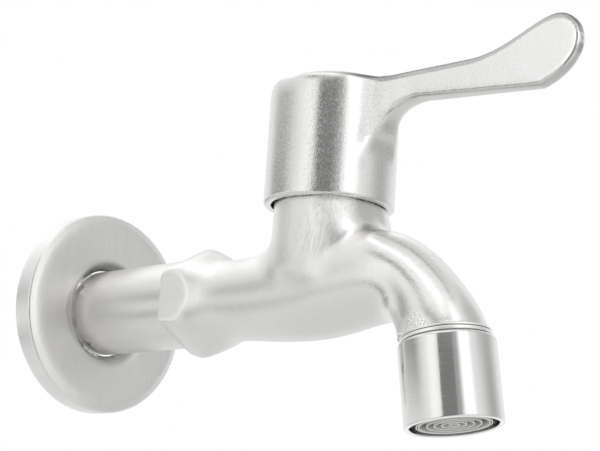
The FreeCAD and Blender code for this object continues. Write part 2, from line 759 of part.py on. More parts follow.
def handle_adaptor():
    """The splined brass sleeve that the handle is clamped to."""
    body = handle_rod(ADAPTOR_RADIUS, ADAPTOR_LEVEL, ADAPTOR_TOP)
    bore = splined_section(
        SPLINE_RADIUS + SPINDLE_CLEARANCE,
        SPLINE_DEPTH,
        ADAPTOR_LEVEL - OVERCUT,
        SPINDLE_TOP,
    )
    screw_way = handle_rod(SCREW_RADIUS + SPINDLE_CLEARANCE, ADAPTOR_LEVEL, ADAPTOR_TOP + OVERCUT)
    flat = Part.makeBox(
        2 * GRUB_BITE,
        4 * GRUB_RADIUS,
        ADAPTOR_TOP - ADAPTOR_LEVEL,
        FreeCAD.Vector(HANDLE_AXIS_X - ADAPTOR_RADIUS - GRUB_BITE, -2 * GRUB_RADIUS, ADAPTOR_LEVEL),
    )
    return body.cut([bore, screw_way, flat])


def adaptor_screw():
    """The slotted screw that holds the adaptor down on the spindle."""
    shank = handle_rod(SCREW_RADIUS - FACE_PLAY, SPINDLE_TOP - SCREW_LENGTH + OVERCUT, ADAPTOR_TOP)
    head = handle_rod(SCREW_HEAD_RADIUS, ADAPTOR_TOP, ADAPTOR_TOP + SCREW_HEAD_HEIGHT)
    slot = Part.makeBox(
        4 * SCREW_HEAD_RADIUS,
        SCREW_SLOT_WIDTH,
        SCREW_SLOT_DEPTH + OVERCUT,
        FreeCAD.Vector(
            HANDLE_AXIS_X - 2 * SCREW_HEAD_RADIUS,
            -SCREW_SLOT_WIDTH / 2,
            ADAPTOR_TOP + SCREW_HEAD_HEIGHT - SCREW_SLOT_DEPTH,
        ),
    )
    return shank.fuse(head).cut(slot)


def grub_level():
    """The height of the grub screw at the back of the handle."""
    return (ADAPTOR_LEVEL + ADAPTOR_TOP) / 2


def grub_rod(radius, start, length):
    """A cylinder on the grub screw's axis, from its distance behind the handle axis."""
    foot = FreeCAD.Vector(HANDLE_AXIS_X - start, 0, grub_level())
    return Part.makeCylinder(radius, length, foot, ALONG_X)


def handle_grub_screw():
    """The socket screw that clamps the handle on its adaptor."""
    tip = ADAPTOR_RADIUS - GRUB_BITE
    screw = grub_rod(GRUB_RADIUS - FACE_PLAY, tip + GRUB_LENGTH, GRUB_LENGTH)
    corner = GRUB_SOCKET / 2 / math.cos(math.radians(30))
    back = HANDLE_AXIS_X - tip - GRUB_LENGTH
    corners = []
    for step in range(7):
        u, v = on_circle(0, grub_level(), corner, 60 * step)
        corners.append(FreeCAD.Vector(back - OVERCUT, u, v))
    socket = Part.Face(Part.makePolygon(corners)).extrude(ALONG_X * (GRUB_SOCKET_DEPTH + OVERCUT))
    return screw.cut(socket)


def curve_between(ends, leans, place):
    """A smooth curve between two spots, with a lean at each end as shares of their box."""
    (start_u, start_v), (end_u, end_v) = ends
    (lean_u, lean_v), (arrive_u, arrive_v) = leans
    run = end_u - start_u
    rise = end_v - start_v
    bezier = Part.BezierCurve()
    bezier.setPoles(
        [
            place(start_u, start_v),
            place(start_u + lean_u * run, start_v + lean_v * rise),
            place(start_u + arrive_u * run, start_v + arrive_v * rise),
            place(end_u, end_v),
        ]
    )
    return bezier.toShape()


def lever_side_prism():
    """The lever seen from the side: a cove under its root, level neck and raised paddle."""
    tip = HANDLE_AXIS_X + LEVER_REACH
    side = HANDLE_AXIS_X + CAP_RADIUS
    web = LEVER_WEB_RADIUS
    corner = (tip - LEVER_CORNER_SETBACK, LEVER_CORNER_LEVEL)
    crown = (tip - LEVER_CROWN_SETBACK, LEVER_PADDLE_TOP)
    rise = (tip - LEVER_RISE_SETBACK, LEVER_TOP)
    end = (tip, LEVER_TIP_LEVEL)

    def place(reach, height):
        return FreeCAD.Vector(reach, -CAP_RADIUS, height)

    top = place(HANDLE_AXIS_X, LEVER_TOP)
    foot = place(HANDLE_AXIS_X, LEVER_ROOT_LEVEL - web)
    web_foot = place(side, LEVER_ROOT_LEVEL - web)
    web_middle = place(*on_circle(side + web, LEVER_ROOT_LEVEL - web, web, 135))
    web_end = place(side + web, LEVER_ROOT_LEVEL)
    edges = [
        Part.LineSegment(top, foot).toShape(),
        Part.LineSegment(foot, web_foot).toShape(),
        Part.Arc(web_foot, web_middle, web_end).toShape(),
        Part.LineSegment(web_end, place(*corner)).toShape(),
        curve_between((corner, end), UNDERSIDE_LEANS, place),
        curve_between((end, crown), TIP_LEANS, place),
        curve_between((crown, rise), RISE_LEANS, place),
        Part.LineSegment(place(*rise), top).toShape(),
    ]
    return Part.Face(Part.Wire(edges)).extrude(ALONG_Y * 2 * CAP_RADIUS)


def lever_plan_prism():
    """The lever seen from above: it flares into the cap and thins towards its tip."""
    side = LEVER_SIDE_RADIUS
    half = LEVER_NECK_THICKNESS / 2
    slim = LEVER_TIP_THICKNESS / 2
    out = math.sqrt((CAP_RADIUS + side) ** 2 - (half + side) ** 2)
    turn = math.degrees(math.asin((half + side) / (CAP_RADIUS + side)))
    touch = on_circle(HANDLE_AXIS_X, 0, CAP_RADIUS, turn)
    flank = (HANDLE_AXIS_X + out, half)
    middle = on_circle(HANDLE_AXIS_X + out, half + side, side, (180 + turn + 270) / 2)
    tip = HANDLE_AXIS_X + LEVER_REACH + OVERCUT
    spots = [
        (HANDLE_AXIS_X, 0),
        touch,
        middle + flank,
        (tip, slim),
        (tip, -slim),
        (flank[0], -half),
        (middle[0], -middle[1], touch[0], -touch[1]),
    ]
    face = outline_face(spots, lambda u, v: FreeCAD.Vector(u, v, 0))
    return face.extrude(ALONG_Z * (LEVER_PADDLE_TOP + CAP_TOP))


def lever_rim_edges(blade):
    """The long edges all round the lever's two broad faces."""
    found = []
    for edge in blade.Edges:
        middle = edge.valueAt((edge.FirstParameter + edge.LastParameter) / 2)
        beyond = middle.x > HANDLE_AXIS_X + CAP_RADIUS + LEVER_SIDE_RADIUS / 2
        if beyond and abs(middle.y) > 0.3 * LEVER_TIP_THICKNESS:
            found.append(edge)
    return found


def handle():
    """The cap over the cartridge with its lever, cast as one piece."""
    blade = lever_side_prism().common(lever_plan_prism())
    blade = blade.makeFillet(LEVER_EDGE_ROUND, lever_rim_edges(blade))
    edge = CAP_EDGE_ROUND
    spots = [
        (0, CAP_BOTTOM),
        (CAP_RADIUS, CAP_BOTTOM),
        (CAP_RADIUS, CAP_TOP - edge),
        on_circle(CAP_RADIUS - edge, CAP_TOP - edge, edge, 45) + (CAP_RADIUS - edge, CAP_TOP),
        (0, CAP_TOP),
    ]
    cap = turned_about_handle(spots)
    whole = cap.fuse(blade)
    shroud = handle_rod(CAP_RIM_RADIUS, CAP_BOTTOM - OVERCUT, SHROUD_TOP)
    pocket = handle_rod(
        ADAPTOR_RADIUS + ADAPTOR_CLEARANCE,
        SHROUD_TOP - OVERCUT,
        ADAPTOR_TOP + SCREW_HEAD_HEIGHT + ADAPTOR_CLEARANCE,
    )
    wall_way = CAP_RADIUS + OVERCUT
    grub_way = grub_rod(GRUB_RADIUS, wall_way, wall_way - ADAPTOR_RADIUS + 2 * GRUB_BITE)
    whole = whole.cut([shroud, pocket, grub_way])
    return whole.makeFillet(CAP_RIM_ROUND, circle_edges(whole, CAP_RADIUS, ALONG_Z, CAP_BOTTOM))


def aerator_shell():
    """The turned sleeve on the spigot, with an inward lip that carries the insert."""
    top = SHELL_LENGTH
    shoulder = SHELL_SHOULDER_ROUND
    edge = SHELL_EDGE_ROUND
    spots = [
        (SHELL_LIP_RADIUS, SHELL_LIP),
        (SHELL_LIP_RADIUS, AERATOR_RECESS),
        (SHELL_MOUTH_RADIUS, 0),
        (SHELL_RADIUS - edge, 0),
        on_circle(SHELL_RADIUS - edge, edge, edge, -45) + (SHELL_RADIUS, edge),
        (SHELL_RADIUS, top - shoulder),
        on_circle(SHELL_RADIUS - shoulder, top - shoulder, shoulder, 45) + (SHELL_RADIUS - shoulder, top),
        (SHELL_BORE_RADIUS, top),
        (SHELL_BORE_RADIUS, SHELL_LIP),
    ]
    return at_mouth(turned_about_mouth(spots))


def aerator_washer():
    """The flat rubber ring between the spigot and the aerator cage."""
    ring = tube(INSERT_RADIUS, SPIGOT_BORE_RADIUS, CAGE_TOP, SPIGOT_LEVEL)
    return at_mouth(turned_about_mouth(ring))


def aerator_grille():
    """The outlet grille: thin rings one inside the other, carried by spokes behind them."""
    low = GRILLE_LEVEL
    high = CAGE_LEVEL
    ring_top = high - GRILLE_SPOKE_HEIGHT
    step = (INSERT_RADIUS - GRILLE_RING_WIDTH) / GRILLE_RING_COUNT
    rings = [Part.makeCylinder(step / 2, ring_top - low, FreeCAD.Vector(0, 0, low), ALONG_Z)]
    for index in range(1, GRILLE_RING_COUNT + 1):
        outer = INSERT_RADIUS - (GRILLE_RING_COUNT - index) * step
        level = high if index == GRILLE_RING_COUNT else ring_top
        rings.append(turned_about_mouth(tube(outer, outer - GRILLE_RING_WIDTH, low, level)))
    spokes = []
    spoke_length = INSERT_RADIUS - GRILLE_RING_WIDTH / 2
    for index in range(GRILLE_SPOKE_COUNT):
        corner = FreeCAD.Vector(0, -GRILLE_SPOKE_WIDTH / 2, ring_top)
        spoke = Part.makeBox(spoke_length, GRILLE_SPOKE_WIDTH, GRILLE_SPOKE_HEIGHT, corner)
        spoke.rotate(WALL_CENTRE, ALONG_Z, 360 * (index + 0.5) / GRILLE_SPOKE_COUNT)
        spokes.append(spoke)
    return at_mouth(rings[0].fuse(rings[1:] + spokes))


def aerator_cage():
    """The sleeve that holds diffuser and screens above the grille."""
    return at_mouth(turned_about_mouth(tube(INSERT_RADIUS, CAGE_BORE_RADIUS, CAGE_LEVEL, CAGE_TOP)))


def pierced_disc(radius, low, height, hole_radius, rows):
    """A thin disc with holes in rows round its middle."""
    disc = Part.makeCylinder(radius, height, FreeCAD.Vector(0, 0, low), ALONG_Z)
    holes = []
    for row in range(1, rows + 1):
        row_radius = radius * row / (rows + ROW_EDGE_SHARE)
        count = HOLES_PER_ROW * row
        for index in range(count):
            u, v = on_circle(0, 0, row_radius, 360 * index / count + ROW_TWIST * row)
            foot = FreeCAD.Vector(u, v, low - OVERCUT)
            holes.append(Part.makeCylinder(hole_radius, height + 2 * OVERCUT, foot, ALONG_Z))
    return disc.cut(holes)


def aerator_screens():
    """Two fine screens, one above the other, clipped into the cage."""
    radius = CAGE_BORE_RADIUS - FACE_PLAY
    first = CAGE_LEVEL + SCREEN_THICKNESS
    second = first + SCREEN_SPACING
    discs = []
    for low in (first, second):
        discs.append(
            pierced_disc(radius, low, SCREEN_THICKNESS, SCREEN_HOLE_RADIUS, SCREEN_HOLE_ROWS)
        )
    return at_mouth(Part.makeCompound(discs))


def aerator_diffuser():
    """The pierced plate at the top of the cage that breaks up the flow."""
    low = CAGE_TOP - DIFFUSER_HEIGHT
    radius = CAGE_BORE_RADIUS - FACE_PLAY
    plate = pierced_disc(radius, low, DIFFUSER_HEIGHT, DIFFUSER_HOLE_RADIUS, DIFFUSER_HOLE_ROWS)
    return at_mouth(plate)


def fixed_ceramic_disc():
    """The lower disc, which the seal holds still."""
    return ceramic_disc(FIXED_DISC_LEVEL, FIXED_DISC_HEIGHT, 90)


def moving_ceramic_disc():
    """The upper disc, which turns with the spindle and opens the ports."""
    return ceramic_disc(MOVING_DISC_LEVEL, MOVING_DISC_HEIGHT, 0)


PIECES = {
    "inlet_nipple": inlet_nipple,
    "wall_flange": wall_flange,
    "valve_body": valve_body,
    "neck_gasket": neck_gasket,
    "cartridge_housing": cartridge_housing,
    "seat_seal": seat_seal,
    "fixed_ceramic_disc": fixed_ceramic_disc,
    "moving_ceramic_disc": moving_ceramic_disc,
    "spindle": spindle,
    "spindle_o_rings": spindle_o_rings,
    "glide_washer": glide_washer,
    "spindle_circlip": spindle_circlip,
    "handle_adaptor": handle_adaptor,
    "adaptor_screw": adaptor_screw,
    "handle": handle,
    "handle_grub_screw": handle_grub_screw,
    "aerator_shell": aerator_shell,
    "aerator_washer": aerator_washer,
    "aerator_diffuser": aerator_diffuser,
    "aerator_screens": aerator_screens,
    "aerator_cage": aerator_cage,
    "aerator_grille": aerator_grille,
}

os.makedirs("parts", exist_ok=True)
for name, make in PIECES.items():
    shape = make()
    shape.exportStep("parts/" + name + ".step")
    print(name, len(shape.Solids), shape.isValid(), round(shape.Volume, 1))
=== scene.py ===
"""A wall tap in satin stainless steel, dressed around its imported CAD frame.

Lengths are in metres where nothing else is said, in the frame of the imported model: +X runs out of
the wall, +Z is up, and the face of the wall is the plane x = 0.
"""

import json
import logging
import math
from collections.abc import Iterable, Sequence
from dataclasses import dataclass
from enum import Enum
from functools import reduce

import bmesh
import bpy
import numpy as np
from mathutils import Matrix, Vector, noise


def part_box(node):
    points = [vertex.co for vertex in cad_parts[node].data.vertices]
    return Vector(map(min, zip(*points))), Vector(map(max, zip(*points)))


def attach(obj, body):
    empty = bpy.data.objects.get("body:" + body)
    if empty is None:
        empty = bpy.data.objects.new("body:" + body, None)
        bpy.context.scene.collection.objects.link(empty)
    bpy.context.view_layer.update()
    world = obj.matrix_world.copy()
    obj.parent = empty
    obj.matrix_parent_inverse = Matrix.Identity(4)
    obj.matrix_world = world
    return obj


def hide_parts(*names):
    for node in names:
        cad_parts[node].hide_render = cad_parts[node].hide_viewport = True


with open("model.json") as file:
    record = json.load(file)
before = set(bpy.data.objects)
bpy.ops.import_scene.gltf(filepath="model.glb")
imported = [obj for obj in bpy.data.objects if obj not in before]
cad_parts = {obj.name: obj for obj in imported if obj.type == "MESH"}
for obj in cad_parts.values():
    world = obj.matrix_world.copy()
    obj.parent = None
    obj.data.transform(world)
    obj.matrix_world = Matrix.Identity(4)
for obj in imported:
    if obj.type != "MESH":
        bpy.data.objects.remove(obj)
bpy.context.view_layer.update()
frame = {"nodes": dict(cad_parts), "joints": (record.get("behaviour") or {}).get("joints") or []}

MM = 0.001
UP = Vector((0.0, 0.0, 1.0))
SAME = 1e-7
HANDLE_X = next(joint["pos_m"][0] for joint in frame["joints"] if joint["name"] == "handle_turn")
MOUTH_TILT = math.radians(9.5)

log = logging.getLogger("tap")

Array = np.ndarray
Object, Material, Mesh = bpy.types.Object, bpy.types.Material, bpy.types.Mesh
Socket = bpy.types.NodeSocket
Feed = Socket | float | tuple[float, ...]
Sockets = dict[str, Socket]
Pair, Triple = tuple[float, float], tuple[float, float, float]
Shape = bmesh.types.BMesh
Line = Sequence[tuple[float, float, float, float]]
Outline = list[Pair]


class Body(Enum):
    """The rigid bodies that the pieces ride on."""

    FIXED = "body"
    HANDLE = "handle"
    FLANGE = "flange"


class Slot(Enum):
    """The record's finishes for the scene's own pieces; nothing in the script uses this list."""

    CASTING = "cast_stainless"
    HANDLE = "handle_stainless"
    PIPE = "pipe_stainless"
    FLANGE = "flange_stainless"
    SHELL = "shell_stainless"
    GRILLE = "grille_plastic"


# --------------------------------------------------------------------------- node building


class Bench:
    """Short calls that add and join the nodes of one node tree."""

    def __init__(self, tree: bpy.types.NodeTree) -> None:
        """Takes the tree that is being built."""
        self.tree = tree

    def add(self, kind: str, feeds: dict[str | int, Feed] | None = None, **settings: object) -> bpy.types.Node:
        """Adds a shader node.

        Args:
            kind: the node's type, without its leading ShaderNode.
            feeds: what goes into each named input, a socket or a value.
            **settings: the node's own properties.

        Returns:
            The new node.
        """
        node = self.tree.nodes.new("ShaderNode" + kind)
        for name, value in settings.items():
            setattr(node, name, value)
        for name, value in (feeds or {}).items():
            self.feed(node.inputs[name], value)
        return node

    def feed(self, socket: Socket, value: Feed) -> None:
        """Joins a socket to an input, or sets the input's own value.

        Args:
            socket: the input.
            value: what it gets.
        """
        if isinstance(value, bpy.types.NodeSocket):
            self.tree.links.new(value, socket)
        else:
            socket.default_value = value

    def math(self, operation: str, *values: Feed, clamp: bool = False) -> Socket:
        """Joins up one sum of numbers, by Blender's name for it, and clamps it from 0 to 1 if asked."""
        return self.add("Math", dict(enumerate(values)), operation=operation, use_clamp=clamp).outputs[0]

    def times(self, first: Feed, second: Feed) -> Socket:
        """Multiplies two numbers."""
        return self.math("MULTIPLY", first, second)

    def swing(self, value: Feed, amount: Feed) -> Socket:
        """Turns a value round 0.5 into one round 0, an amount wide."""
        return self.times(self.math("SUBTRACT", value, 0.5), amount)

    def total(self, *values: Feed) -> Feed:
        """Adds numbers up, in their order."""
        return reduce(lambda result, value: self.math("ADD", result, value), values)

    def vector(self, operation: str, *values: Feed) -> Socket:
        """Joins up one sum of vectors, by Blender's name for it. A length comes out as a number."""
        node = self.add("VectorMath", dict(enumerate(values)), operation=operation)
        return node.outputs["Value" if operation == "LENGTH" else "Vector"]

    def turn(self, vector: Feed, angles: Feed) -> Socket:
        """Turns a vector by an angle round each axis."""
        feeds = {"Vector": vector, "Rotation": angles}
        return self.add("VectorRotate", feeds, rotation_type="EULER_XYZ").outputs["Vector"]

    def noise(self, vector: Feed, scale: Feed, detail: float = 2.0, roughness: float = 0.5) -> Socket:
        """Adds soft noise from 0 to 1, with so many features to a unit of length and so many finer layers."""
        feeds = {"Vector": vector, "Scale": scale, "Detail": detail, "Roughness": roughness}
        return self.add("TexNoise", feeds).outputs["Fac"]

    def remap(self, value: Feed, start: Feed, end: Feed, low: Feed = 0.0, high: Feed = 1.0) -> Socket:
        """Turns the values from start to end softly into those from low to high, and keeps within these."""
        feeds = {"Value": value, "From Min": start, "From Max": end, "To Min": low, "To Max": high}
        return self.add("MapRange", feeds, interpolation_type="SMOOTHSTEP").outputs["Result"]

    def blend(self, share: Feed, first: Feed, second: Feed) -> Socket:
        """Mixes two numbers, where a share of 0 gives the first."""
        return self.add("Mix", {0: share, 2: first, 3: second}, data_type="FLOAT").outputs[0]

    def tint(self, share: Feed, first: Feed, second: Feed) -> Socket:
        """Mixes two colours, where a share of 0 gives the first."""
        return self.add("Mix", {0: share, 6: first, 7: second}, data_type="RGBA").outputs[2]

    def parts(self, vector: Feed) -> list[Socket]:
        """Splits a vector into its three numbers."""
        return list(self.add("SeparateXYZ", {"Vector": vector}).outputs)

    def join(self, x: Feed, y: Feed, z: Feed) -> Socket:
        """Makes a vector of three numbers."""
        return self.add("CombineXYZ", {"X": x, "Y": y, "Z": z}).outputs["Vector"]

    def mirror_rays(self) -> Socket:
        """Tells rays that were mirrored or let through from all others."""
        rays = self.add("LightPath").outputs
        return self.math("MAXIMUM", rays["Is Glossy Ray"], rays["Is Transmission Ray"])


class Effect:
    """A shader node group that several materials share, built the first time that it is placed."""

    name = ""
    inputs: dict[str, float] = {}
    outputs: Sequence[str] = ()

    def weave(self, bench: Bench, given: Sockets) -> Sockets:
        """Builds what the group does, from its inputs by name to its outputs by name."""
        raise NotImplementedError

    def group(self) -> bpy.types.NodeTree:
        """Finds the group, or builds it.

        Returns:
            The group's tree.
        """
        known = bpy.data.node_groups.get(self.name)
        if known:
            return known
        tree = bpy.data.node_groups.new(self.name, "ShaderNodeTree")
        tree.interface.new_socket("Vector", in_out="INPUT", socket_type="NodeSocketVector")
        for label, value in self.inputs.items():
            socket = tree.interface.new_socket(label, in_out="INPUT", socket_type="NodeSocketFloat")
            socket.default_value = value
        for label in self.outputs:
            tree.interface.new_socket(label, in_out="OUTPUT", socket_type="NodeSocketFloat")
        given = tree.nodes.new("NodeGroupInput")
        result = tree.nodes.new("NodeGroupOutput")
        made = self.weave(Bench(tree), {socket.name: socket for socket in given.outputs if socket.name})
        for label, socket in made.items():
            tree.links.new(socket, result.inputs[label])
        return tree

    def place(self, bench: Bench, vector: Feed, **values: Feed) -> Sockets:
        """Puts the group in a material.

        Args:
            bench: builds in the material's tree.
            vector: where the effect is read.
            **values: the group's other inputs by name.

        Returns:
            The group's outputs by name.
        """
        node = bench.add("Group", node_tree=self.group())
        for label, value in {"vector": vector, **values}.items():
            bench.feed(node.inputs[label.capitalize()], value)
        return {socket.name: socket for socket in node.outputs}


class BlastGrain(Effect):
    """The fine, even grain of dimples that glass beads leave on steel."""

    name = "blast_grain"
    inputs = {"Size": 0.3 * MM}
    outputs = ("Height", "Clouds", "Sparkle")
    clouds_per_bead = 0.04

    def weave(self, bench: Bench, given: Sockets) -> Sockets:
        """Lays a dimple for each bead, gives each its own gloss, and adds wide, faint clouds.

        Args:
            bench: builds in the group's tree.
            given: the group's inputs by name.

        Returns:
            The group's outputs by name.
        """
        scale = bench.math("DIVIDE", 1.0, given["Size"])
        beads = bench.add("TexVoronoi", {"Vector": given["Vector"], "Scale": scale}).outputs
        return {
            "Height": bench.times(beads["Distance"], beads["Distance"]),
            "Clouds": bench.noise(given["Vector"], bench.times(scale, self.clouds_per_bead), 3.0, 0.6),
            "Sparkle": bench.parts(beads["Color"])[0],
        }


class ToolLines(Effect):
    """The lines that a tool left, wider bands behind them, and the strongest lines alone."""

    outputs = ("Height", "Bands", "Streaks")
    strongest = (0.48, 0.62)

    def draw(self, bench: Bench, fine: Socket, wide: Socket, roughness: float) -> Sockets:
        """Reads one noise finely for the lines and one widely for the bands.

        Args:
            bench: builds in the group's tree.
            fine: where the lines are read.
            wide: where the bands are read.
            roughness: how strong the finer layers of the lines are.

        Returns:
            The group's outputs by name.
        """
        lines = bench.noise(fine, 1.0, 4.0, roughness)
        streaks = bench.remap(lines, *self.strongest)
        return {"Height": lines, "Bands": bench.noise(wide, 1.0), "Streaks": streaks}


class BrushedLines(ToolLines):
    """Fine lines from an abrasive belt that run along the vector's Z."""

    name = "brushed_lines"
    inputs = {"Spacing": 0.25 * MM, "Length": 9 * MM}
    band_across, band_along = 0.12, 0.4

    def weave(self, bench: Bench, given: Sockets) -> Sockets:
        """Stretches noise along Z into lines, and wider noise into soft bands.

        Args:
            bench: builds in the group's tree.
            given: the group's inputs by name.

        Returns:
            The group's outputs by name.
        """
        x, y, z = bench.parts(given["Vector"])
        across = [bench.math("DIVIDE", value, given["Spacing"]) for value in (x, y)]
        along = bench.math("DIVIDE", z, given["Length"])
        wide = [bench.times(value, self.band_across) for value in across]
        slow = bench.times(along, self.band_along)
        return self.draw(bench, bench.join(*across, along), bench.join(*wide, slow), 0.65)


class TurnedLines(ToolLines):
    """Fine lines round a turned piece, whose axis is the vector's Z."""

    name = "turned_lines"
    inputs = {"Spacing": 0.2 * MM, "Arc": 1.2}
    slant, centre, band_across = 1.37, 0.1 * MM, 0.1

    def weave(self, bench: Bench, given: Sockets) -> Sockets:
        """Reads noise by the distance along the profile, and only slowly by the angle.

        Args:
            bench: builds in the group's tree.
            given: the group's inputs by name.

        Returns:
            The group's outputs by name.
        """
        x, y, z = bench.parts(given["Vector"])
        radius = bench.vector("LENGTH", bench.join(x, y, 0.0))
        level = bench.math("DIVIDE", bench.total(z, bench.times(radius, self.slant)), given["Spacing"])
        clear = bench.math("MAXIMUM", radius, self.centre)
        around = [bench.times(bench.math("DIVIDE", value, clear), given["Arc"]) for value in (x, y)]
        slow = bench.times(level, self.band_across)
        return self.draw(bench, bench.join(*around, level), bench.join(*around, slow), 0.7)


class HandlingMarks(Effect):
    """Faint smudges and a few hair-thin scratches from use."""

    name = "handling_marks"
    inputs = {"Size": 18 * MM, "Share": 0.3}
    outputs = ("Smudges", "Scratches")
    hair = 0.35 * MM
    patch_scale, patch_edges, hair_edges = 1.7, (0.5, 0.62), (0.74, 0.8)
    sets = (((0.4, 0.9, 0.2), 5 * MM), ((1.2, 0.3, 1.1), 3.5 * MM))

    def weave(self, bench: Bench, given: Sockets) -> Sockets:
        """Thresholds two sets of stretched noise, and keeps them to a few patches.

        Args:
            bench: builds in the group's tree.
            given: the group's inputs by name.

        Returns:
            The group's outputs by name.
        """
        scale = bench.math("DIVIDE", 1.0, given["Size"])
        patches = bench.noise(given["Vector"], bench.times(scale, self.patch_scale), 1.0)
        found = []
        for angles, length in self.sets:
            parts = zip(bench.parts(bench.turn(given["Vector"], angles)), (self.hair, self.hair, length))
            spot = bench.join(*(bench.math("DIVIDE", value, size) for value, size in parts))
            found.append(bench.remap(bench.noise(spot, 1.0, 1.0), *self.hair_edges))
        lines = bench.times(bench.math("MAXIMUM", *found), bench.remap(patches, *self.patch_edges))
        smudges = bench.noise(given["Vector"], scale, 4.0, 0.55)
        return {"Smudges": smudges, "Scratches": bench.times(lines, given["Share"])}


class EdgeRub(Effect):
    """Where edges and ridges are rubbed brighter than the faces beside them."""

    name = "edge_rub"
    inputs = {"Level": 0.53, "Width": 0.05}
    outputs = ("Edges",)
    breaks, uneven = 1.5 * MM, 0.03

    def weave(self, bench: Bench, given: Sockets) -> Sockets:
        """Breaks up how far the surface sticks out with a little noise.

        Args:
            bench: builds in the group's tree.
            given: the group's inputs by name.

        Returns:
            The group's outputs by name.
        """
        broken = bench.noise(given["Vector"], 1.0 / self.breaks, 3.0, 0.6)
        level = bench.total(given["Level"], bench.swing(broken, self.uneven))
        pointed = bench.add("NewGeometry").outputs["Pointiness"]
        return {"Edges": bench.remap(pointed, level, bench.total(level, given["Width"]))}


GRAIN, BRUSHED, TURNED, MARKS, RUB = BlastGrain(), BrushedLines(), TurnedLines(), HandlingMarks(), EdgeRub()


# --------------------------------------------------------------------------- finishes


class Worked(Enum):
    """Places that were worked or left by hand, and places of painted shade and painted highlight, kept as
    marks on a piece's mesh.
    """

    RUBBED = "rubbed"
    HATCHED = "hatched"
    PITTED = "pitted"
    COARSE = "coarse"
    # painted shade: darkens the colour where shade and dark reflections fall
    PAINTED_SHADE = "shaded"
    # painted highlight: lightens the colour where highlights and reflections fall; on the handle it also
    # lightens two real scuffs
    PAINTED_HIGHLIGHT_AND_SCUFF = "bright"
    # painted highlight on the grille's ring tops and painted shade in its seat
    RIDGE_LIGHT_AND_SHADE = "ridge"


@dataclass(frozen=True)
class Work:
    """What a surface gains where its mark is 1. A pattern's size and depth are in millimetres."""

    rough: float = 0.0
    shade: float = 0.0
    size: float = 0.0
    depth: float = 0.0
    contrast: float = 0.0
    harshness: float = 0.0


WORK = {
    Worked.RUBBED: Work(rough=-0.15),
    Worked.HATCHED: Work(rough=0.10, size=0.42, depth=0.12, contrast=1.3),
    Worked.PITTED: Work(size=0.36, depth=0.05, contrast=0.32, harshness=0.6),
    Worked.COARSE: Work(rough=0.42, shade=0.10, size=0.45, depth=0.12, contrast=0.6, harshness=0.7),
    # The next two are painted light: painted shade darkens, and painted highlight lightens, the colour where a
    # piece is marked
    Worked.PAINTED_SHADE: Work(shade=-0.30),
    Worked.PAINTED_HIGHLIGHT_AND_SCUFF: Work(shade=0.20),
}
HATCH_TURN = (0.0, -0.30, 0.0)
HATCH_LENGTH = 4 * MM
PIT_EDGES = (0.36, 0.62)


class Lay(Enum):
    """Which way the tool marks of a surface run."""

    NONE = "none"
    ALONG = "along"
    ROUND = "round"


@dataclass
class Skin:
    """A surface in the making: where it is, and its relief, its roughness and how light it is."""

    bench: Bench
    place: Socket
    relief: Feed
    rough: Feed
    shade: Feed

    def add(self, part: str, *values: Feed) -> None:
        """Adds values to the relief, the roughness or the shade."""
        setattr(self, part, self.bench.total(getattr(self, part), *values))

    def marked(self, mark: Worked) -> Socket:
        """Reads how far the mesh is marked for a kind of work."""
        return self.bench.add("Attribute", attribute_name=mark.value).outputs["Fac"]

    def pattern(self, mark: Worked) -> Socket:
        """Makes the strokes, the pits or the grains of a kind of work.

        Args:
            mark: the kind.

        Returns:
            The pattern, from 0 to 1.
        """
        work = WORK[mark]
        if mark is Worked.HATCHED:
            slanted = self.bench.turn(self.place, HATCH_TURN)
            return BRUSHED.place(self.bench, slanted, spacing=work.size * MM, length=HATCH_LENGTH)["Height"]
        grains = self.bench.noise(self.place, 1.0 / (work.size * MM), 2.0, work.harshness)
        return self.bench.remap(grains, *PIT_EDGES) if mark is Worked.PITTED else grains


@dataclass(frozen=True)
class Finish:
    """A surface: its colour, its gloss and its grain. Lengths are in millimetres."""

    name: str
    colour: Triple = (0.80, 0.795, 0.785)
    roughness: float = 0.32
    metallic: float = 1.0
    grain_size: float = 0.30
    grain_depth: float = 0.010

    def skin(self, bench: Bench, place: Socket) -> Skin:
        """Builds what feeds the shader."""
        raise NotImplementedError

    def make(self) -> Material:
        """Builds the material.

        Returns:
            The finished material.
        """
        material, bench, shader = plain_material(self.name)
        skin = self.skin(bench, bench.add("TexCoord").outputs["Object"])
        bump = bench.add("Bump", {"Height": skin.relief, "Strength": 1.0, "Distance": 1.0})
        feeds = {
            "Base Color": bench.vector("MULTIPLY", self.colour, bench.join(*[skin.shade] * 3)),
            "Roughness": bench.math("ADD", skin.rough, 0.0, clamp=True),
            "Normal": bump.outputs["Normal"],
            "Metallic": self.metallic,
        }
        for name, value in feeds.items():
            bench.feed(shader.inputs[name], value)
        return material


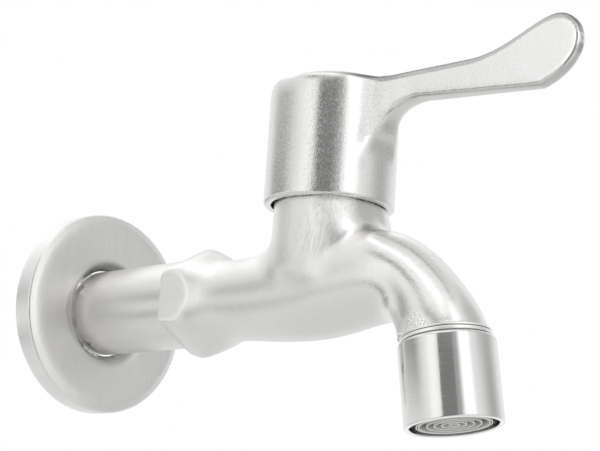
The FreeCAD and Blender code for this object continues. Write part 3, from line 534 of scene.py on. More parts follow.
@dataclass(frozen=True)
class SteelFinish(Finish):
    """A worked stainless surface, with the lines of a tool, hand work, painted shade and highlights, and wear.
    """

    roughness_swing: float = 0.10
    grain_shade: float = 0.0
    base_shade: float = 0.985
    cloud_shade: float = 0.06
    sparkle: float = 0.06
    lay: Lay = Lay.NONE
    lay_turn: Triple = (0.0, 0.0, 0.0)
    lay_origin: Triple = (0.0, 0.0, 0.0)
    line_spacing: float = 0.25
    line_length: float = 9.0
    line_depth: float = 0.006
    line_swing: float = 0.10
    line_shade: float = 0.0
    band_shade: float = 0.08
    streaks: float = 0.0
    scratch_share: float = 0.3
    scratch_gloss: float = 0.12
    scratch_shade: float = 0.10
    edge_level: float = 0.56
    edge_shine: float = 0.08
    worked: tuple[Worked, ...] = ()

    def skin(self, bench: Bench, place: Socket) -> Skin:
        """Lays the even grain, then the lines, the hand work with its painted shade and highlights, and the
        wear.

        Args:
            bench: builds in the material's tree.
            place: where the surface is.

        Returns:
            What feeds the shader.
        """
        grain = GRAIN.place(bench, place, size=self.grain_size * MM)
        clouds = bench.swing(grain["Clouds"], self.cloud_shade)
        skin = Skin(
            bench, place, bench.swing(grain["Height"], self.grain_depth * MM),
            bench.total(self.roughness, bench.swing(grain["Sparkle"], self.sparkle)),
            bench.total(self.base_shade, clouds, bench.swing(grain["Sparkle"], self.grain_shade)),
        )
        if self.lay is not Lay.NONE:
            self.add_lay(skin)
        for mark in self.worked:
            self.add_work(skin, mark)
        self.add_wear(skin)
        return skin

    def add_lay(self, skin: Skin) -> None:
        """Adds the lines that the belt or the lathe left.

        Args:
            skin: takes the lines.
        """
        bench, along = skin.bench, self.lay is Lay.ALONG
        turned = bench.turn(bench.vector("SUBTRACT", skin.place, self.lay_origin), self.lay_turn)
        extra = {"length": self.line_length * MM} if along else {}
        lines = (BRUSHED if along else TURNED).place(bench, turned, spacing=self.line_spacing * MM, **extra)
        skin.add("relief", bench.swing(lines["Height"], self.line_depth * MM))
        skin.add("rough", bench.swing(lines["Height"], self.line_swing),
                 bench.times(lines["Streaks"], self.streaks))
        skin.add("shade", bench.swing(lines["Bands"], self.band_shade),
                 bench.swing(lines["Height"], self.line_shade))

    @staticmethod
    def add_work(skin: Skin, mark: Worked) -> None:
        """Adds one kind of mark where the mesh holds it: hand work, painted shade or painted highlight.

        Args:
            skin: takes the work.
            mark: the kind.
        """
        bench, work, share = skin.bench, WORK[mark], skin.marked(mark)
        if work.size:
            pattern = skin.pattern(mark)
            for part, amount in (("relief", work.depth * MM), ("shade", work.contrast)):
                skin.add(part, bench.times(bench.swing(pattern, amount), share))
        for part, amount in (("rough", work.rough), ("shade", work.shade)):
            if amount:
                skin.add(part, bench.times(share, amount))

    def add_wear(self, skin: Skin) -> None:
        """Adds smudges, scratches and rubbed edges.

        Args:
            skin: takes the wear.
        """
        bench = skin.bench
        marks = MARKS.place(bench, skin.place, share=self.scratch_share)
        edges = RUB.place(bench, skin.place, level=self.edge_level)["Edges"]
        skin.add("rough", bench.swing(marks["Smudges"], self.roughness_swing),
                 bench.times(marks["Scratches"], -self.scratch_gloss), bench.times(edges, -self.edge_shine))
        skin.add("shade", bench.times(edges, self.edge_shine),
                 bench.times(marks["Scratches"], self.scratch_shade))


@dataclass(frozen=True)
class MouldedFinish(Finish):
    """A moulded, pressed or turned surface that isn't stainless steel."""

    roughness: float = 0.45
    metallic: float = 0.0
    grain_size: float = 0.4
    grain_depth: float = 0.006
    smudge_size: float = 7.0
    scratch_share: float = 0.2
    colour_swing: float = 0.12
    gloss_swing: float = 0.2
    ridge_light_and_shade_gain: float = 0.0

    def skin(self, bench: Bench, place: Socket) -> Skin:
        """Lays the even grain, smudges, and, where there are ridges, a painted highlight on their tops and
        painted shade in the seat below them.

        Args:
            bench: builds in the material's tree.
            place: where the surface is.

        Returns:
            What feeds the shader.
        """
        grain = GRAIN.place(bench, place, size=self.grain_size * MM)
        marks = MARKS.place(bench, place, size=self.smudge_size * MM, share=self.scratch_share)
        skin = Skin(
            bench, place, bench.times(grain["Height"], self.grain_depth * MM),
            bench.total(self.roughness, bench.swing(grain["Clouds"], self.gloss_swing)),
            bench.total(1.0, bench.swing(marks["Smudges"], self.colour_swing)),
        )
        # painted highlight on ridge tops and painted shade in the seat, as the mesh's mark says
        if self.ridge_light_and_shade_gain:
            skin.add("shade", bench.times(skin.marked(Worked.RIDGE_LIGHT_AND_SHADE), self.ridge_light_and_shade_gain))
        return skin


def plain_material(name: str) -> tuple[Material, Bench, bpy.types.Node]:
    """Starts a material.

    Args:
        name: the material's name.

    Returns:
        The material, what builds in its tree, and its shader node.
    """
    material = bpy.data.materials.new(name)
    material.use_nodes = True
    tree = material.node_tree
    shader = next(node for node in tree.nodes if node.type == "BSDF_PRINCIPLED")
    return material, Bench(tree), shader


# --------------------------------------------------------------------------- studio


@dataclass(frozen=True)
class Panel:
    """A soft card of the studio as the steel sees it, by where it stands and how bright it is."""

    azimuth: float
    elevation: float
    half_width: float
    half_height: float
    side_softness: float
    end_softness: float
    level: float


@dataclass
class Studio:
    """The white room, its cards, one broad lamp, the pale floor and the camera."""

    room_level: float = 0.93
    plain_level: float = 0.95
    panels: Sequence[Panel] = (
        Panel(-140, -62, 180, 30, 1, 16, 0.76),
        Panel(-150, 12, 24, 8, 15, 9, 0.36),
        Panel(50, 4, 22, 44, 22, 18, 0.50),
        Panel(48, 42, 26, 14, 16, 10, 0.58),
        Panel(120, 74, 100, 12, 30, 8, 0.72),
        Panel(165, 47, 42, 8, 25, 6, 1.42),
        Panel(-94, 14, 11, 40, 9, 18, 1.16),
        Panel(-15, 28, 12, 34, 9, 14, 1.50),
        Panel(-40, 14, 8, 42, 6, 20, 0.42),
        Panel(-61.5, -6, 17.5, 42, 1.2, 14, 0.235),
        Panel(-93, 39, 17, 5, 8, 4, 0.26),
        Panel(-145, -18.5, 34, 4.5, 16, 5, 0.26),
        Panel(-100, 65, 62, 4.5, 16, 4, 1.60),
        Panel(-50, 52, 14, 6, 8, 5, 1.30),
    )
    lamp_sides: Pair = (0.9, 0.7)
    lamp_watts: float = 1.6
    lamp_place: Triple = (0.12, -0.1, 0.85)
    floor_level: float = -0.26
    floor_radius: float = 1.6
    floor_fade: Pair = (0.4, 1.28)
    floor_colours: Sequence[tuple[float, ...]] = ((0.84, 0.84, 0.835, 1.0), (0.87, 0.87, 0.865, 1.0))
    floor_roughness: float = 0.8
    camera_place: Triple = (0.312667, -0.261018, -0.068617)
    camera_angles: Triple = (42.957, -13.316, 3.805)
    camera_lens: float = 95.78
    camera_sensor: float = 36.0
    camera_clip: Pair = (0.01, 20.0)

    def build(self) -> None:
        """Lights the scene, lays the floor and sets up the camera."""
        for step in (self.light_room, self.hang_lamp, self.lay_floor, self.set_camera):
            step()

    def light_room(self) -> None:
        """Makes the world: white to the camera, a room with soft cards to the steel, and plain to the rest."""
        world = bpy.data.worlds.new("studio")
        bpy.context.scene.world = world
        world.use_nodes = True
        tree = world.node_tree
        tree.nodes.clear()
        bench = Bench(tree)
        direction = bench.add("TexCoord").outputs["Generated"]
        level: Feed = self.room_level
        for panel in self.panels:
            level = bench.blend(self.panel_mask(bench, direction, panel), level, panel.level)
        seen = bench.add("LightPath").outputs["Is Camera Ray"]
        strength = bench.blend(seen, bench.blend(bench.mirror_rays(), self.plain_level, level), 1.0)
        light = bench.add("Background", {"Color": (1.0, 1.0, 1.0, 1.0), "Strength": strength})
        tree.links.new(light.outputs["Background"], bench.add("OutputWorld").inputs["Surface"])

    @staticmethod
    def panel_mask(bench: Bench, direction: Socket, panel: Panel) -> Socket:
        """Masks the directions that a card fills.

        Args:
            bench: builds in the world's tree.
            direction: the way that a ray leaves.
            panel: the card.

        Returns:
            1 on the card, 0 off it, and soft between.
        """
        feeds = {"Vector": direction, "Angle": -math.radians(panel.azimuth)}
        x, y, z = bench.parts(bench.add("VectorRotate", feeds, rotation_type="Z_AXIS").outputs["Vector"])
        height = bench.math("DEGREES", bench.math("ARCSINE", z))
        return bench.times(*(
            bench.remap(bench.math("ABSOLUTE", value), half - soft, half + soft, 1.0, 0.0)
            for value, half, soft in (
                (bench.math("DEGREES", bench.math("ARCTAN2", y, x)), panel.half_width, panel.side_softness),
                (bench.math("SUBTRACT", height, panel.elevation), panel.half_height, panel.end_softness),
            )
        ))

    def hang_lamp(self) -> None:
        """Hangs one broad, soft lamp overhead."""
        data = bpy.data.lights.new("softbox", "AREA")
        data.shape = "RECTANGLE"
        data.size, data.size_y = self.lamp_sides
        data.energy = self.lamp_watts
        lamp = add_object("softbox", data)
        lamp.visible_glossy = False
        lamp.location = self.lamp_place

    def lay_floor(self) -> None:
        """Lays a pale round floor that fades into the white room."""
        mesh = bpy.data.meshes.new("floor")
        shape = bmesh.new()
        bmesh.ops.create_circle(shape, cap_ends=True, segments=96, radius=self.floor_radius)
        shape.to_mesh(mesh)
        shape.free()
        floor = add_object("floor", mesh)
        floor.location = (HANDLE_X, 0.0, self.floor_level)
        material, bench, shader = plain_material("floor")
        place = bench.add("TexCoord").outputs["Object"]
        speckle = bench.noise(place, 60.0, 3.0, 0.6)
        bench.feed(shader.inputs["Base Color"], bench.tint(speckle, *self.floor_colours))
        bench.feed(shader.inputs["Roughness"], self.floor_roughness)
        far = bench.remap(bench.vector("LENGTH", place), *self.floor_fade)
        white, clear = bench.add("Emission", {"Strength": 1.0}), bench.add("BsdfTransparent")
        faded = bench.add("MixShader", {0: far, 1: shader.outputs[0], 2: white.outputs[0]})
        shown = bench.add("MixShader", {0: bench.mirror_rays(), 1: faded.outputs[0], 2: clear.outputs[0]})
        output = next(node for node in bench.tree.nodes if node.type == "OUTPUT_MATERIAL")
        bench.feed(output.inputs["Surface"], shown.outputs[0])
        mesh.materials.append(material)

    def set_camera(self) -> None:
        """Places the camera below the spout's level, looking up past it at the wall."""
        azimuth, elevation, roll = (math.radians(angle) for angle in self.camera_angles)
        back = Vector((
            math.sin(azimuth) * math.cos(elevation),
            -math.cos(azimuth) * math.cos(elevation),
            math.sin(elevation),
        ))
        right = (-back).cross(UP).normalized()
        up = right.cross(-back)
        side = right * math.cos(roll) + up * math.sin(roll)
        top = up * math.cos(roll) - right * math.sin(roll)
        data = bpy.data.cameras.new("camera")
        data.sensor_width, data.lens = self.camera_sensor, self.camera_lens
        data.clip_start, data.clip_end = self.camera_clip
        camera = add_object("camera", data)
        turn = Matrix((side, top, back)).transposed()
        camera.matrix_world = Matrix.Translation(self.camera_place) @ turn.to_4x4()
        bpy.context.scene.camera = camera


# --------------------------------------------------------------------------- mesh work


def add_object(name: str, data: bpy.types.ID) -> Object:
    """Puts data in the scene.

    Args:
        name: the object's name.
        data: a mesh, a lamp or a camera.

    Returns:
        The new object.
    """
    made = bpy.data.objects.new(name, data)
    bpy.context.scene.collection.objects.link(made)
    return made


def new_piece(name: str, mesh: Mesh, material: Material, body: Body, node: str = "") -> Object:
    """Puts a finished mesh on a body of the frame.

    Args:
        name: the piece's name.
        mesh: its mesh, in the frame's own place.
        material: its material.
        body: what it rides on.
        node: the CAD node that it replaces, if it does.

    Returns:
        The new object.
    """
    mesh.materials.clear()
    mesh.materials.append(material)
    piece = add_object(name, mesh)
    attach(piece, body.value)
    if node:
        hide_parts(node)
    log.info("made %s, %d faces", name, len(mesh.polygons))
    return piece


def dress(finish: Finish, *names: str) -> None:
    """Gives CAD nodes a finished material.

    Args:
        finish: the finish.
        *names: the nodes.
    """
    material = finish.make()
    for name in names:
        for slot in frame["nodes"][name].material_slots:
            slot.material = material
        log.info("dressed %s in %s", name, finish.name)


def read_rows(items: Sequence, name: str) -> Array:
    """Reads a vector of each of a mesh's items.

    Args:
        items: the mesh's points or normals.
        name: what the vector is called there.

    Returns:
        One row of x, y and z for each item.
    """
    flat = np.empty(len(items) * 3, np.float32)
    items.foreach_get(name, flat)
    return flat.reshape(-1, 3).astype(float)


def points_of(mesh: Mesh) -> Array:
    """Reads a mesh's points."""
    return read_rows(mesh.vertices, "co")


def set_points(mesh: Mesh, points: Array) -> None:
    """Moves a mesh's points to new places."""
    mesh.vertices.foreach_set("co", points.astype(np.float32).ravel())
    mesh.update()


def ramp(values: Array, start: float, end: float) -> Array:
    """Turns values softly into shares, from 0 at the start to 1 at the end."""
    share = np.clip((values - start) / (end - start), 0.0, 1.0)
    return share * share * (3.0 - 2.0 * share)


def ramp_mm(values: Array, start: float, end: float) -> Array:
    """Turns lengths softly into shares, with the start and the end in millimetres."""
    return ramp(values, start * MM, end * MM)


def remeshed(node: str, voxel: float, plugs: Iterable[Mesh] = ()) -> Mesh:
    """Copies a CAD node into an even mesh of small squares, which can be worked like clay.

    Args:
        node: the node.
        voxel: the length of a square's side.
        plugs: solids that fill its hidden passages, where the wall is too thin for the squares.

    Returns:
        The new mesh.
    """
    shape = bmesh.new()
    for part in (frame["nodes"][node].data, *plugs):
        shape.from_mesh(part)
    joined = bpy.data.meshes.new(node + "_clay")
    shape.to_mesh(joined)
    shape.free()
    copy = add_object(node + "_clay", joined)
    work = copy.modifiers.new("even", "REMESH")
    work.mode, work.voxel_size = "VOXEL", voxel
    mesh = bpy.data.meshes.new_from_object(copy.evaluated_get(bpy.context.evaluated_depsgraph_get()))
    bpy.data.objects.remove(copy)
    mesh.shade_smooth()
    return mesh


class Clay:
    """An even mesh whose points are smoothed and pushed about."""

    polish_step = 0.5
    polish_return = -0.52
    rounds_per_reading = 15
    least_share = 1e-4

    def __init__(self, mesh: Mesh) -> None:
        """Reads the points of the mesh and which of them are neighbours.

        Args:
            mesh: the mesh, which the clay changes.
        """
        self.mesh = mesh
        self.points = points_of(mesh)
        pairs = np.empty(len(mesh.edges) * 2, np.int32)
        mesh.edges.foreach_get("vertices", pairs)
        self.first, self.second = pairs.reshape(-1, 2).T
        self.near = sum(np.bincount(end, minlength=len(self.points)) for end in (self.first, self.second))

    def averages(self, first: Array, second: Array) -> Array:
        """Works out the middle of each point's neighbours.

        Args:
            first: one end of each edge that counts.
            second: its other end.

        Returns:
            One row for each point, true where all of its edges count.
        """
        count = len(self.points)
        sums = [np.bincount(first, part[second], count) + np.bincount(second, part[first], count)
                for part in self.points.T]
        return np.stack(sums, axis=1) / self.near[:, None]

    def moves(self, share: Array) -> tuple[Array, Array]:
        """Picks the edges that touch a point with a share."""
        kept = (share > self.least_share)[self.first] | (share > self.least_share)[self.second]
        return self.first[kept], self.second[kept]

    def relax(self, rounds: int, share: Array | float = 1.0, step: float = 0.5) -> None:
        """Moves each point towards the middle of its neighbours.

        Args:
            rounds: how often.
            share: how much of a step each point takes.
            step: how far a full step goes.
        """
        share = np.broadcast_to(step * share, len(self.points))
        edges = self.moves(np.abs(share))
        for _ in range(rounds):
            self.points += share[:, None] * (self.averages(*edges) - self.points)

    def fill(self, rounds: int, share: Array, step: float = 0.6) -> None:
        """Fills hollows softly, as a fillet does, and leaves what stands out.

        Args:
            rounds: how often.
            share: how much of a step each point takes.
            step: how far a full step goes.
        """
        share = step * share
        edges = self.moves(share)
        for done in range(rounds):
            if done % self.rounds_per_reading == 0:
                normals = self.normals()
            outward = ((self.averages(*edges) - self.points) * normals).sum(axis=1)
            self.points += (share * np.maximum(outward, 0.0))[:, None] * normals

    def keep_inside(self, low: Vector, high: Vector) -> None:
        """Keeps every point within the box of the CAD node."""
        self.points = np.clip(self.points, np.array(low), np.array(high))

    def mark(self, kind: Worked, values: Array) -> None:
        """Keeps a share for each point on the mesh, for the material to read."""
        add_mark(self.mesh, kind, values)

    def polish(self, rounds: int) -> None:
        """Takes the small steps off without making the form thinner."""
        for step in [self.polish_step, self.polish_return] * rounds:
            self.relax(1, step=step)

    def normals(self) -> Array:
        """Reads which way each point faces."""
        set_points(self.mesh, self.points)
        return read_rows(self.mesh.vertex_normals, "vector")

    def push(self, depth: Array) -> None:
        """Moves each point along its normal."""
        self.points += self.normals() * depth[:, None]

    def done(self) -> Mesh:
        """Writes the points back and gives the finished mesh."""
        set_points(self.mesh, self.points)
        return self.mesh


def add_mark(mesh: Mesh, kind: Worked, values: Array) -> None:
    """Keeps a value for each point on a mesh, for the material to read."""
    layer = mesh.attributes.new(kind.value, "FLOAT", "POINT")
    layer.data.foreach_set("value", values.astype(np.float32))


def near_line(points: Array, line: Line, width: float) -> Array:
    """Marks what lies close to a line, and to its mirror image on the far side.

    Args:
        points: the points to judge.
        line: the line's own points in millimetres, on the near side, each with its weight.
        width: how far from the line the mark has faded to six tenths, in millimetres.

    Returns:
        A share for each point.
    """
    steps = np.linspace(0.0, len(line) - 1.0, 8 * len(line))
    spots = np.stack([np.interp(steps, range(len(line)), part) for part in zip(*line)], axis=1)
    folded = np.stack([points[:, 0], -np.abs(points[:, 1]), points[:, 2]], axis=1)
    share = np.zeros(len(points))
    for *spot, weight in spots:
        far = np.linalg.norm(folded - np.array(spot) * MM, axis=1)
        share = np.maximum(share, weight * np.exp(-0.5 * (far / (width * MM)) ** 2))
    return share


def ripple(points: Array, length: float, seed: float) -> Array:
    """Makes a soft, uneven wave from about -1 to 1, with crests a length apart and a pattern of its own."""
    return np.array([noise.noise(point) for point in points / length + seed])


def arc(centre: Pair, radius: float, start: float, end: float, steps: int = 8) -> Outline:
    """Lists the points of an arc, with its angles in degrees from straight outwards towards rising levels."""
    angles = np.radians(np.linspace(start, end, steps + 1))
    return [(centre[0] + radius * math.cos(a), centre[1] + radius * math.sin(a)) for a in angles]


def turned_mesh(name: str, outline: Outline, place: Matrix, segments: int = 192) -> Mesh:
    """Turns a closed outline round an axis into a solid.

    Args:
        name: the mesh's name.
        outline: radius and level of each corner, in order, with the solid on its left.
        place: brings the axis from Z to where it belongs.
        segments: how many faces go round.

    Returns:
        The mesh, smooth except at sharp corners.
    """
    radii, levels = np.array(outline).T
    angles = np.linspace(0.0, 2.0 * math.pi, segments, endpoint=False)[:, None]
    flat = np.broadcast_to(levels, (segments, len(levels)))
    points = np.stack([radii * np.cos(angles), radii * np.sin(angles), flat], axis=2)
    count = len(outline)
    faces = []
    for step in range(segments):
        here, there = step * count, (step + 1) % segments * count
        for spot in range(count):
            after = (spot + 1) % count
            faces.append((here + spot, there + spot, there + after, here + after))
    mesh = bpy.data.meshes.new(name)
    mesh.from_pydata(points.reshape(-1, 3).tolist(), [], faces)
    shape = bmesh.new()
    shape.from_mesh(mesh)
    bmesh.ops.remove_doubles(shape, verts=shape.verts, dist=SAME)
    return written(shape, mesh, place)


def written(shape: Shape, mesh: Mesh, place: Matrix = Matrix(), angle: float = 32.0) -> Mesh:
    """Writes a finished shape to its mesh.

    Args:
        shape: the shape, which is freed.
        mesh: takes it.
        place: where the shape goes.
        angle: edges sharper than this many degrees stay sharp.

    Returns:
        The mesh, smooth except at sharp edges.
    """
    bmesh.ops.recalc_face_normals(shape, faces=shape.faces)
    shape.transform(place)
    shape.to_mesh(mesh)
    shape.free()
    mesh.shade_smooth()
    mesh.set_sharp_from_angle(angle=math.radians(angle))
    return mesh


def mouth_place() -> Matrix:
    """Gives the place of the spout's mouth, with Z up along its axis."""
    return Matrix.Translation(MOUTH) @ Matrix.Rotation(MOUTH_TILT, 4, "Y").inverted()


def in_mouth(mesh: Mesh) -> tuple[Array, Array]:
    """Gives how far each point lies from the mouth's axis, and how far up along it."""
    local = (points_of(mesh) - np.array(mouth_place().translation)) @ np.array(mouth_place().to_3x3())
    return np.hypot(local[:, 0], local[:, 1]), local[:, 2]


def round_handle(points: Array) -> tuple[Array, Array]:
    """Gives how far each point lies from the handle's axis, and how many degrees from straight ahead."""
    x, y = points[:, 0] - HANDLE_X, points[:, 1]
    return np.hypot(x, y), np.degrees(np.arctan2(np.abs(y), x))


# --------------------------------------------------------------------------- the tap


TO_PIPE_AXIS = (0.0, -math.pi / 2, 0.0)
TO_MOUTH_AXIS = (0.0, MOUTH_TILT, 0.0)
MOUTH = (0.1162, 0.0, -0.0317)

CASTING = SteelFinish(
    "cast_satin", colour=(0.83, 0.825, 0.815), roughness=0.37, grain_size=0.42, grain_shade=0.035,
    scratch_share=0.0, edge_shine=0.0,
    worked=(Worked.RUBBED, Worked.HATCHED, Worked.PITTED, Worked.PAINTED_SHADE, Worked.PAINTED_HIGHLIGHT_AND_SCUFF),
)
HANDLE = SteelFinish(
    "handle_satin", roughness=0.21, grain_size=0.33, grain_depth=0.009, grain_shade=0.02, sparkle=0.22,
    lay=Lay.ALONG, line_spacing=0.24, line_length=5, line_depth=0.003, line_swing=0.06, line_shade=0.10,
    scratch_share=0.8, edge_shine=0.0, worked=(Worked.COARSE, Worked.PAINTED_SHADE, Worked.PAINTED_HIGHLIGHT_AND_SCUFF),
)
PIPE = SteelFinish(
    "pipe_satin", roughness=0.33, lay=Lay.ALONG, lay_turn=TO_PIPE_AXIS, line_spacing=0.3, line_length=14,
    line_shade=0.14, grain_shade=0.03, scratch_share=0.0,
)
FLANGE = SteelFinish(
    "flange_brushed", colour=(0.87, 0.865, 0.855), roughness=0.38, lay=Lay.ALONG, line_spacing=0.26,
    line_length=12, line_depth=0.008, line_swing=0.14, line_shade=0.22, grain_shade=0.03, scratch_share=0.15,
    worked=(Worked.PAINTED_SHADE,),
)
SHELL = SteelFinish(
    "shell_turned", roughness=0.085, grain_depth=0.003, lay=Lay.ROUND, lay_turn=TO_MOUTH_AXIS,
    lay_origin=MOUTH, line_spacing=0.26, line_depth=0.005, line_swing=0.07, streaks=0.08, line_shade=0.10,
    scratch_share=0.0, worked=(Worked.PAINTED_SHADE, Worked.PAINTED_HIGHLIGHT_AND_SCUFF),
)
# The grey is darker than the plastic, as painted shade between and under the rings; the ring tops are lifted
# to a light grey as a painted highlight
GRILLE = MouldedFinish("grille_grey", (0.30, 0.30, 0.295), 0.4, ridge_light_and_shade_gain=1.3)
INNER = MouldedFinish("inner_grey", (0.42, 0.42, 0.41))
BRASS = MouldedFinish("brass_turned", (0.72, 0.50, 0.22), 0.3, 1.0)
CERAMIC = MouldedFinish("ceramic_lapped", (0.86, 0.85, 0.82), 0.18)
RUBBER = MouldedFinish("rubber_black", (0.025, 0.025, 0.025), 0.6)
SPRING = MouldedFinish("spring_steel_dark", (0.52, 0.51, 0.50), 0.3, 1.0)
WOVEN = MouldedFinish("woven_wire", (0.62, 0.62, 0.60), 0.32, 1.0)


@dataclass
class InletNipple:
    """The pipe into the wall, with a cut thread that winds out under the flange."""

    node: str = "inlet_nipple"
    radius: float = 10.53 * MM
    bore: float = 7.0 * MM
    crest: float = 10.36 * MM
    pitch: float = 1.814 * MM
    depth: float = 1.162 * MM
    crest_share: float = 0.18
    root_share: float = 0.16
    thread_end: float = 3.3 * MM
    fade: float = 1.6 * MM
    chamfer: float = 1.1 * MM
    segments: int = 128

    def build(self, finish: Finish) -> None:
        """Cuts the thread, bores the pipe and dresses it.

        Args:
            finish: its surface.
        """
        low, high = (corner.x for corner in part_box(self.node))
        shape = bmesh.new()
        self.wind(shape, low, high)
        for level, keep in ((low, -1.0), (high, 1.0)):
            bmesh.ops.bisect_plane(
                shape, geom=[*shape.verts, *shape.edges, *shape.faces], dist=SAME,
                plane_co=(level, 0, 0), plane_no=(keep, 0, 0), clear_outer=True,
            )
        self.add_bore(shape, low, high)
        for level in (low, high):
            rim = [edge for edge in shape.edges
                   if edge.is_boundary and all(abs(end.co.x - level) < 10 * SAME for end in edge.verts)]
            bmesh.ops.triangle_fill(shape, use_beauty=True, edges=rim)
        mesh = written(shape, bpy.data.meshes.new("threaded_nipple"), angle=24.0)
        new_piece("threaded_nipple", mesh, finish.make(), Body.FIXED, self.node)

    def wind(self, shape: Shape, start: float, end: float) -> None:
        """Lays the outside as one band that winds along the pipe.

        Args:
            shape: takes the faces.
            start: where the pipe begins in the wall.
            end: where it ends in the casting.
        """
        crest, root = self.crest_share / 2, self.root_share / 2
        flank = (1.0 - self.crest_share - self.root_share) / 4
        corners = np.cumsum([0.0, crest, flank, flank, root, root, flank, flank])
        heights = [1.0, 1.0, 0.5, 0.0, 0.0, 0.0, 0.5, 1.0]
        turns = math.ceil((self.thread_end - start) / self.pitch) + 2
        rows = [(start - 1.5 * self.pitch + (turn + share) * self.pitch, height)
                for turn in range(turns) for share, height in zip(corners, heights)]
        extra = math.ceil((end - rows[-1][0]) / self.pitch) + 2
        rows += [(rows[-len(corners)][0] + (turn + 1) * self.pitch, 1.0) for turn in range(extra)]
        spots = []
        for step in range(self.segments):
            lead = self.pitch * step / self.segments
            angle = 2.0 * math.pi * step / self.segments
            spots.append([self.spot(shape, place + lead, height, angle, start) for place, height in rows])
        self.join_rows(shape, spots, [place for place, _ in rows])

    def spot(self, shape: Shape, x: float, height: float, angle: float, start: float) -> bmesh.types.BMVert:
        """Adds one point of the outside.

        Args:
            shape: takes the point.
            x: how far along the pipe it lies.
            height: 1 on the thread's crest, 0 at its root.
            angle: how far round.
            start: where the pipe begins.

        Returns:
            The point.
        """
        cut = self.crest - self.depth * (1.0 - height)
        share = min(max((x - self.thread_end + self.fade) / self.fade, 0.0), 1.0)
        allowed = self.crest - self.depth + max(x - start + 0.2 * MM, 0.0) * self.depth / self.chamfer
        radius = min(cut + (self.radius - cut) * share, allowed)
        return shape.verts.new((x, radius * math.cos(angle), radius * math.sin(angle)))

    def join_rows(self, shape: Shape, spots: list[list[bmesh.types.BMVert]],
                  places: list[float]) -> None:
        """Joins the rows of points into faces, each turn to the next.

        Args:
            shape: takes the faces.
            spots: the points of each step round, row by row.
            places: how far along each row begins.
        """
        after = {}
        for row, place in enumerate(places):
            nearest = min(range(len(places)), key=lambda other: abs(places[other] - place - self.pitch))
            if abs(places[nearest] - place - self.pitch) < SAME:
                after[row] = nearest
        for step, column in enumerate(spots):
            last = step == self.segments - 1
            beside = spots[(step + 1) % self.segments]
            for row in range(len(places) - 1):
                if last and not (row in after and row + 1 in after and after[row + 1] - after[row] == 1):
                    if row in after and row + 1 in after:
                        ends = [beside[k] for k in range(after[row], after[row + 1] + 1)]
                        shape.faces.new([column[row], *ends, column[row + 1]])
                    continue
                pair = (after[row], after[row + 1]) if last else (row, row + 1)
                shape.faces.new((column[row], beside[pair[0]], beside[pair[1]], column[row + 1]))

    def add_bore(self, shape: Shape, start: float, end: float) -> None:
        """Adds the inside of the pipe.

        Args:
            shape: takes the faces.
            start: one end of the pipe.
            end: the other.
        """
        angles = [2.0 * math.pi * step / self.segments for step in range(self.segments)]
        near, far = (
            [shape.verts.new((x, self.bore * math.cos(a), self.bore * math.sin(a))) for a in angles]
            for x in (start, end)
        )
        for step in range(self.segments):
            after = (step + 1) % self.segments
            shape.faces.new((near[step], far[step], far[after], near[after]))


